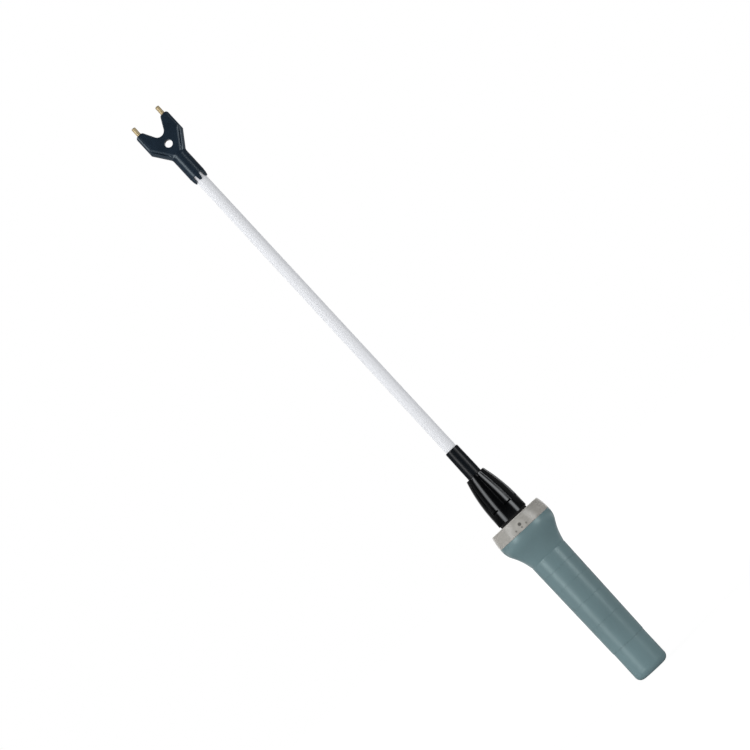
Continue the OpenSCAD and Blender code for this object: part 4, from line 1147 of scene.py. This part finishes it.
def nut_tree(material):
    """Tree that cuts flutes, and a slot at each flute's foot, into a turned nut blank."""
    tree, wires = geometry_tree("nut flutes", {
        "Float": ("Flutes", "Turn", "Half Span", "Half Wall", "Foot", "Top", "Foot Depth", "Mouth Depth",
                  "Slot Top", "Slot Floor")})
    spot = Wire.add(tree, "GeometryNodeInputPosition")
    x, y, z = (Wire.add(tree, "ShaderNodeSeparateXYZ", {"Vector": spot}, axis) for axis in range(3))
    side = Wire.add(tree, "GeometryNodeInputNamedAttribute", {"Name": "side"}, data_type="FLOAT")
    crest = (x * x + y * y).power(0.5)
    pitch = 2.0 * math.pi / wires["Flutes"]
    turn = x.maths("ARCTAN2", x, 0.0 - y) - wires["Turn"]
    away = x.maths("ABSOLUTE", x.maths("FLOORED_MODULO", turn + pitch * 0.5, pitch) - pitch * 0.5)
    cut = 1.0 - away.ramp(wires["Half Span"] - wires["Half Wall"], wires["Half Span"] + wires["Half Wall"])
    climb = (z - wires["Foot"]) / (wires["Top"] - wires["Foot"])
    floor = crest - wires["Foot Depth"] - climb * (wires["Mouth Depth"] - wires["Foot Depth"])
    deep = floor + (z < wires["Slot Top"]) * (wires["Slot Floor"] - floor)
    wanted = crest + cut * (z > wires["Foot"]) * (deep - crest)
    scale = 1.0 + side * (wanted / crest - 1.0)
    moved = Wire.add(tree, "ShaderNodeCombineXYZ", {"X": x * scale, "Y": y * scale, "Z": z})
    shaped = Wire.add(tree, "GeometryNodeSetPosition", {"Geometry": wires["Geometry"], "Position": moved})
    close_tree(tree, shaped, material)
    return tree


class PROD_OT_nut(bpy.types.Operator):
    """Builds the fluted collar nut with its slots, and finishes the washer, bush and wiper"""
    bl_idname = "prod.nut"
    bl_label = "Collar nut"
    wall = math.radians(1.2)
    nick = 0.06

    def turns(self, sizes):
        """Turns of the nut's rows of points, close together at the flutes' walls."""
        pitch = 2.0 * math.pi / sizes.flute_count
        half = sizes.flute_span / 2.0
        near, far = half - self.wall, half + self.wall
        step = np.concatenate([np.linspace(-far, -near, 7), np.linspace(-near, near, 13)[1:-1],
                               np.linspace(near, far, 7), np.linspace(far, pitch - far, 13)[1:-1]])
        return np.concatenate([sizes.flute_turn + pitch * i + step for i in range(sizes.flute_count)])

    def crest(self, mm, start, slot, top):
        """Points up the nut's curved side: an arc from its straight foot to its mouth."""
        depth = mm.nut_radius - mm.nut_mouth
        sweep = ((top - start) ** 2 + depth ** 2) / (2.0 * depth)
        slot_top = slot + mm.slot_height
        rows = list(np.linspace(start, slot, 5)) + [slot + self.nick, slot_top]
        rows += list(np.linspace(slot_top + 0.5, top - 1.2, 44))
        return [(mm.nut_radius - sweep + math.sqrt(sweep ** 2 - (z - start) ** 2), z) for z in rows]

    def execute(self, context):
        mm = Millimetres(context.scene.prod_collar)
        bottom, top = ends("collar_nut")
        slot = bottom + mm.foot_height
        start = bottom + mm.arc_start
        seat = low("wiper_seal") + 0.2
        crest = self.crest(mm, start, slot, top)
        head = rounded([(mm.nut_bore, bottom, SOFT), (mm.nut_radius, bottom, 0.6),
                        (mm.nut_radius, start - 1.0, SHARP)], False)
        tail = rounded([(*crest[-1], SHARP), (mm.nut_mouth, top, 0.9), (mm.mouth_bore, top, 0.5),
                        (mm.mouth_bore, mm.wiper_top, FINE), (mm.wiper_room, mm.wiper_top, FINE),
                        (mm.wiper_room, seat, FINE), (mm.nut_bore, seat, FINE),
                        (mm.nut_bore, bottom + 0.3, SHARP)], False)
        profile = np.concatenate([head, np.array(crest[:-1]), tail])
        turns = self.turns(mm.group)
        points, faces = revolve(profile, True, turns - math.pi / 2.0)
        obj = blank("fluted_nut", points, faces)
        first = len(head)
        last = first + len(crest) + 4
        mask = np.zeros(len(profile))
        mask[first:last] = 1.0
        mask[last - 5:last] = np.linspace(1.0, 0.0, 6)[:5]
        attribute = obj.data.attributes.new("side", "FLOAT", "POINT")
        attribute.data.foreach_set("value", np.repeat(mask, len(turns)).astype(np.float32))
        apply_tree(obj, nut_tree(MATERIALS["nut_plastic"]), {
            "Flutes": float(mm.group.flute_count), "Turn": mm.group.flute_turn,
            "Half Span": mm.group.flute_span / 2.0, "Half Wall": self.wall,
            "Foot": (slot + self.nick / 2.0) * MM, "Top": top * MM,
            "Foot Depth": mm.group.flute_depth, "Mouth Depth": mm.group.flute_fade,
            "Slot Top": (slot + mm.slot_height - self.nick) * MM, "Slot Floor": mm.group.slot_floor}, 30.0)
        dress(obj, "nut_plastic", "nut", ("collar_nut",))
        paint("seal_rubber", "collar_washer", "wiper_seal")
        paint("inner_plastic", "nose_bush")
        return {"FINISHED"}


class PROD_OT_neck(bpy.types.Operator):
    """Finishes the hub and the switch, and cuts the thread on its neck"""
    bl_idname = "prod.neck"
    bl_label = "Threaded neck"

    def execute(self, context):
        paint("hub_plastic", "neck_hub", "press_switch")
        paint("button_plastic", "switch_button")
        neck = context.scene.prod_collar.neck_radius / MM
        thread_piece("neck_thread", Millimetres(context.scene.prod_handle), neck, depth=0.38,
                     bottom=low("collar_nut") + 3.5, top=high("neck_hub") - 3.0, slot="hub_plastic")
        return {"FINISHED"}


class PROD_OT_springs(bpy.types.Operator):
    """Winds the shaft's spring and the cells' spring"""
    bl_idname = "prod.springs"
    bl_label = "Springs"

    def execute(self, context):
        wire = 0.7
        bottom, top = ends("press_spring")
        size = reach("press_spring") - wire
        points = coil_points(size, size, bottom + wire, top - wire, turns=7)
        spring = wire_piece("shaft_spring", points, wire, "steel", "handle", ("press_spring",))
        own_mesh(spring)
        thin = 0.6
        wide_end = 12.0
        narrow_end = 6.0
        bottom, top = ends("battery_spring")
        points = coil_points(wide_end, narrow_end, bottom + thin, top - thin, turns=4)
        wire_piece("cell_spring", points, thin, "steel", "cap_carrier", ("battery_spring",))
        return {"FINISHED"}


class PROD_OT_wiring(bpy.types.Operator):
    """Lays the two wires from the pins up the tube and out to the electrodes"""
    bl_idname = "prod.wiring"
    bl_label = "Wiring"

    def execute(self, context):
        place = context.scene.prod_shaft.electrode_x / MM
        pin = 3.2
        radius = 0.9
        bend = high("shaft_tube") + 1.0
        top = high("lead_left")
        for side, node, slot in ((-1.0, "lead_left", "wire_red"), (1.0, "lead_right", "wire_black")):
            points = [(side * pin, 0.0, low(node)), (side * pin, 0.0, bend),
                      (side * place, 0.0, top - 3.0), (side * place, 0.0, top)]
            wire_piece(node.replace("lead", "wire"), points, radius, slot, "shaft", (node,), sides=14,
                       bend=2.0)
        return {"FINISHED"}


def screw_points():
    """Points and faces of one pan-head screw, its head's top at the origin and its shank along -Z."""
    shank = 1.25
    head = 2.55
    under = -2.0
    end = -7.9
    cross_reach = 1.4
    cross_half = 0.33
    cross_floor = -0.9
    corners = [(0.0, end, SHARP), (0.5, end, HAIR), (shank, end + 1.3, FINE), (shank, under, 0.15),
               (head, under, FINE), (head, -0.55, 0.5), (1.8, -0.02, 0.6), (1.45, 0.0, SHARP),
               (1.1, 0.0, SHARP), (0.75, 0.0, SHARP), (0.4, 0.0, SHARP), (0.0, -1.0, SHARP)]
    points, faces = revolve(rounded(corners, False), False, even_turns(48))
    turn = np.arctan2(points[:, 1], points[:, 0])
    out = np.hypot(points[:, 0], points[:, 1])
    off = out * np.minimum(np.abs(np.sin(turn)), np.abs(np.cos(turn)))
    cross = (out < cross_reach) & (off < cross_half) & (points[:, 2] > -0.05)
    points[cross, 2] = cross_floor
    return points, faces


class PROD_OT_screws(bpy.types.Operator):
    """Sets the cross-head screws in the hub and in the back of the head"""
    bl_idname = "prod.screws"
    bl_label = "Screws"

    def execute(self, context):
        points, faces = screw_points()
        pattern = mesh_object("screw pattern", points, faces=faces)
        tree, wires = geometry_tree("screws on points", {"Object": ("Screw",), "Float": ("Lean",)})
        screw = Wire.add(tree, "GeometryNodeObjectInfo", {"Object": wires["Screw"]}, 4)
        turn = Wire.add(tree, "ShaderNodeCombineXYZ", {"X": wires["Lean"]})
        placed = Wire.add(tree, "GeometryNodeInstanceOnPoints", {
            "Points": wires["Geometry"], "Instance": screw, "Rotation": turn})
        close_tree(tree, placed, MATERIALS["steel"])
        depth = context.scene.prod_shaft.face_depth / MM
        head = [(x, depth, z) for x, z in screw_places("head_screws")]
        ring = 26.4
        top = high("hub_screws")
        turns = np.radians((90.0, 210.0, 330.0))
        hub = [(ring * math.cos(t), ring * math.sin(t), top) for t in turns]
        for node, spots, lean, body in (("head_screws", head, -math.pi / 2.0, "shaft"),
                                        ("hub_screws", hub, 0.0, "handle")):
            obj = path_object(node.replace("screws", "screw_set"), spots)
            apply_tree(obj, tree, {"Screw": pattern, "Lean": lean})
            dress(obj, "steel", body, (node,))
        bpy.data.objects.remove(pattern)
        return {"FINISHED"}


class PROD_OT_cells(bpy.types.Operator):
    """Turns the two cells with their beads and nubs"""
    bl_idname = "prod.cells"
    bl_label = "Cells"

    def execute(self, context):
        nub = 4.75
        nub_height = 1.8
        for node in ("battery_lower", "battery_upper"):
            z, top = ends(node)
            r = reach(node)
            rim = top - nub_height
            corners = [(0.0, z + 0.25, SHARP), (r - 6.0, z + 0.25, SOFT), (r - 5.0, z, SOFT),
                       (r - 0.6, z, 0.5), (r - 0.2, z + 1.1, FINE), (r, z + 1.4, FINE), (r, rim - 3.4, SOFT),
                       (r - 0.5, rim - 2.9, SOFT), (r - 0.3, rim - 2.2, SOFT), (r - 0.3, rim - 0.1, 0.5),
                       (r - 1.6, rim - 0.1, SOFT), (r - 2.0, rim - 0.7, SOFT), (nub, rim - 0.7, SOFT),
                       (nub, top, 0.4), (0.0, top, SHARP)]
            jacket = cell_finish(z * MM, top * MM)
            turned(node.replace("battery", "cell"), corners, False, "cell_jacket", "handle", (node,),
                   sides=96, material=jacket)
        return {"FINISHED"}


class PROD_OT_inside(bpy.types.Operator):
    """Winds the transformer and finishes the board, its parts and the contacts"""
    bl_idname = "prod.inside"
    bl_label = "Board and contacts"

    def execute(self, context):
        paint("board_laminate", "circuit_board")
        paint("ferrite", "transformer_core")
        paint("component_case", "capacitor", "power_transistor")
        paint("inner_plastic", "contact_bulkhead")
        paint("brass", "positive_contact", "negative_strip", "cap_contact", "contact_sockets")
        lowest, highest = (np.array(corner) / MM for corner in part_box("transformer_coil"))
        middle = (lowest + highest) / 2.0
        wire = 0.42
        turns = 13
        flat = 5.0
        margin = 0.6
        share = np.linspace(0.0, 1.0, turns * 32 + 1)
        around = 2.0 * math.pi * turns * share
        size = (np.abs(np.cos(around)) ** flat + np.abs(np.sin(around)) ** flat) ** (-1.0 / flat)
        points = []
        for inset, climb in ((0.55, share), (1.40, 1.0 - share)):
            half = (highest - lowest) / 2.0 - inset
            height = lowest[2] + margin + (highest[2] - lowest[2] - 2.0 * margin) * climb
            points.extend(zip(middle[0] + half[0] * size * np.cos(around),
                              middle[1] + half[1] * size * np.sin(around), height))
        wire_piece("transformer_winding", points, wire, "copper", "handle", ("transformer_coil",), sides=6)
        return {"FINISHED"}


class PROD_OT_stage(bpy.types.Operator):
    """Lays the floor, hangs the light panels and sets the camera"""
    bl_idname = "prod.stage"
    bl_label = "Stage"

    def execute(self, context):
        scene = context.scene
        studio = scene.prod_studio
        scene.view_settings.view_transform = "Standard"
        self.floor()
        self.world(scene, studio)
        left = self.panel("left panel", studio.left_light, side=-1.0, span=(33.0, 68.0), away=2.4,
                          heights=(-1.57, 2.43))
        right = self.panel("right panel", studio.right_light, side=1.0, span=(35.0, 66.0), away=0.9,
                           heights=(0.10, 0.78))
        fill = self.panel("left fill", studio.fill_left, side=-1.0, span=(50.0, 120.0), away=3.0,
                          heights=(-1.6, 2.4))
        self.soften(left)
        self.soften(right)
        fill.visible_glossy = False
        self.camera(scene, studio)
        return {"FINISHED"}

    def camera(self, scene, studio):
        """A long lens from the front, turned about its line of sight."""
        camera = bpy.data.cameras.new("camera")
        camera.lens = studio.lens
        camera.sensor_width = 36.0
        camera.clip_end = 100.0
        obj = bpy.data.objects.new("camera", camera)
        scene.collection.objects.link(obj)
        eye = Vector((studio.aim_x, -studio.distance, studio.camera_z))
        ahead = (Vector((studio.aim_x, 0.0, studio.aim_z)) - eye).normalized()
        right = ahead.cross(Vector((0.0, 0.0, 1.0))).normalized()
        up = right.cross(ahead)
        turn, lift = math.cos(studio.roll), math.sin(studio.roll)
        axes = (right * turn - up * lift, right * lift + up * turn, -ahead, eye)
        rows = [[axis[row] for axis in axes] for row in range(3)]
        obj.matrix_world = Matrix(rows + [[0.0, 0.0, 0.0, 1.0]])
        scene.camera = obj

    def rays(self, tree, *kinds):
        """Whether a ray is of one of the kinds: one or nothing."""
        outputs = tree.nodes.new("ShaderNodeLightPath").outputs
        found = Wire(tree, outputs["Is " + kinds[0] + " Ray"])
        for kind in kinds[1:]:
            found = found + Wire(tree, outputs["Is " + kind + " Ray"])
        return found > 0.5

    def shown(self, tree):
        """Whether a ray looks at the background: from the camera, from gloss or through clear plastic."""
        return self.rays(tree, "Camera", "Glossy", "Transmission")

    def floor(self):
        """A wide white floor that keeps a faint shadow."""
        corners = 64
        size = 30000.0
        below = -0.4
        turns = 2.0 * math.pi * np.arange(corners) / corners
        points = [(size * math.cos(t), size * math.sin(t), below) for t in turns]
        obj = mesh_object("floor", points, faces=[range(corners)])
        material = bpy.data.materials.new("white floor")
        material.use_nodes = True
        material.cycles.emission_sampling = "NONE"
        tree = material.node_tree
        tree.nodes.clear()
        paper = Wire.add(tree, "ShaderNodeBsdfDiffuse", {"Color": (0.65, 0.65, 0.65, 1.0)})
        spot = Wire.add(tree, "ShaderNodeTexCoord", out=3)
        away = Wire.add(tree, "ShaderNodeVectorMath", {0: spot}, "Value", operation="LENGTH")
        gloss = self.rays(tree, "Glossy")
        white = 1.1
        sheen = 0.04 + away.ramp(0.5, 1.0) * (1.0 - away.ramp(1.8, 2.6)) * 0.5
        glow = Wire.add(tree, "ShaderNodeEmission", {"Strength": white + gloss * (sheen - white)})
        plain = away.maths("MAXIMUM", away.ramp(0.3, 1.2), gloss)
        share = 0.35 + self.shown(tree) * (0.50 + 0.15 * plain)
        mixed = Wire.add(tree, "ShaderNodeMixShader", {0: share, 1: paper, 2: glow})
        leave = tree.nodes.new("ShaderNodeOutputMaterial")
        tree.links.new(mixed.socket, leave.inputs["Surface"])
        obj.data.materials.append(material)

    def world(self, scene, studio):
        """White to the camera; to gloss a dark room that is white behind the tool; otherwise a soft fill."""
        world = bpy.data.worlds.new("studio")
        world.use_nodes = True
        scene.world = world
        tree = world.node_tree
        tree.nodes.clear()
        way = Wire.add(tree, "ShaderNodeTexCoord", out=0)
        along = Wire.add(tree, "ShaderNodeSeparateXYZ", {"Vector": way}, 1)
        beside = along.ramp(-0.3, 0.0) * (studio.gloss_side - studio.gloss_front)
        seen = studio.gloss_front + beside + along.ramp(0.70, 0.95) * (1.0 - studio.gloss_side)
        fill = studio.fill_front + along.ramp(-0.2, 1.0) * (studio.fill_back - studio.fill_front)
        level = fill + self.shown(tree) * (seen - fill)
        level = level + self.rays(tree, "Camera") * (1.0 - level)
        white = (1.0, 1.0, 1.0, 1.0)
        sky = Wire.add(tree, "ShaderNodeBackground", {"Color": white, "Strength": level})
        leave = tree.nodes.new("ShaderNodeOutputWorld")
        tree.links.new(sky.socket, leave.inputs["Surface"])

    def panel(self, name, brightness, side, span, away, heights):
        """A panel that lights a span of directions round the tool's axis, in degrees; its top leans in."""
        middle = math.radians(sum(span) / 2.0)
        half = math.radians((span[1] - span[0]) / 2.0)
        top_lean = math.radians(16.0)
        lamp = bpy.data.lights.new(name, "AREA")
        lamp.shape = "RECTANGLE"
        lamp.size = 2.0 * away * math.tan(half)
        lamp.size_y = heights[1] - heights[0]
        lamp.energy = brightness * lamp.size * lamp.size_y * math.pi
        obj = bpy.data.objects.new(name, lamp)
        bpy.context.scene.collection.objects.link(obj)
        obj.location = (side * away * math.sin(middle), -away * math.cos(middle), sum(heights) / 2.0)
        way = Vector((-side * math.sin(middle), math.cos(middle), 0.0))
        lean = Quaternion((0.0, 0.0, 1.0), side * top_lean)
        obj.rotation_euler = (way.to_track_quat("-Z", "Y") @ lean).to_euler()
        obj.visible_camera = False
        return obj

    def soften(self, panel):
        """Fades a panel towards its sides, so that its reflections have soft edges."""
        lamp = panel.data
        lamp.use_nodes = True
        tree = lamp.node_tree
        place = Wire.add(tree, "ShaderNodeNewGeometry", out=5)
        across = Wire.add(tree, "ShaderNodeSeparateXYZ", {"Vector": place})
        soft = across.ramp(0.0, 0.4) * (1.0 - across.ramp(0.6, 1.0))
        shade = Wire.add(tree, "ShaderNodeCombineXYZ", {"X": soft, "Y": soft, "Z": soft})
        tree.links.new(shade.socket, tree.nodes["Emission"].inputs["Color"])


class PROD_PT_panel(bpy.types.Panel):
    """Lists the steps that build the prod and the sizes that they use"""
    bl_idname = "PROD_PT_panel"
    bl_label = "Livestock prod"
    bl_space_type = "VIEW_3D"
    bl_region_type = "UI"
    bl_category = "Prod"

    def draw(self, context):
        for step in STEPS:
            self.layout.operator(step.bl_idname)
        for name in GROUPS:
            box = self.layout.box()
            group = getattr(context.scene, name)
            for key in group.bl_rna.properties.keys():
                if key not in {"rna_type", "name"}:
                    box.prop(group, key)


STEPS = (PROD_OT_stage, PROD_OT_handle, PROD_OT_lamp_ring, PROD_OT_neck, PROD_OT_nut, PROD_OT_shaft,
         PROD_OT_head, PROD_OT_electrodes, PROD_OT_springs, PROD_OT_wiring, PROD_OT_screws, PROD_OT_cells,
         PROD_OT_inside)
GROUPS = {"prod_handle": HandleSizes, "prod_collar": CollarSizes, "prod_shaft": ShaftSizes,
          "prod_colours": Colours, "prod_studio": StudioSettings}


def register():
    """Registers the sizes, the steps and the panel."""
    for name, group in GROUPS.items():
        bpy.utils.register_class(group)
        setattr(bpy.types.Scene, name, bpy.props.PointerProperty(type=group))
    for step in STEPS:
        bpy.utils.register_class(step)
    bpy.utils.register_class(PROD_PT_panel)


def unregister():
    """Takes the panel, the steps and the sizes out again."""
    bpy.utils.unregister_class(PROD_PT_panel)
    for step in reversed(STEPS):
        bpy.utils.unregister_class(step)
    for name, group in GROUPS.items():
        delattr(bpy.types.Scene, name)
        bpy.utils.unregister_class(group)


def main():
    """Builds the whole prod."""
    register()
    make_materials(bpy.context.scene.prod_colours)
    for step in STEPS:
        family, name = step.bl_idname.split(".")
        getattr(getattr(bpy.ops, family), name)()


if __name__ == "__main__":
    main()
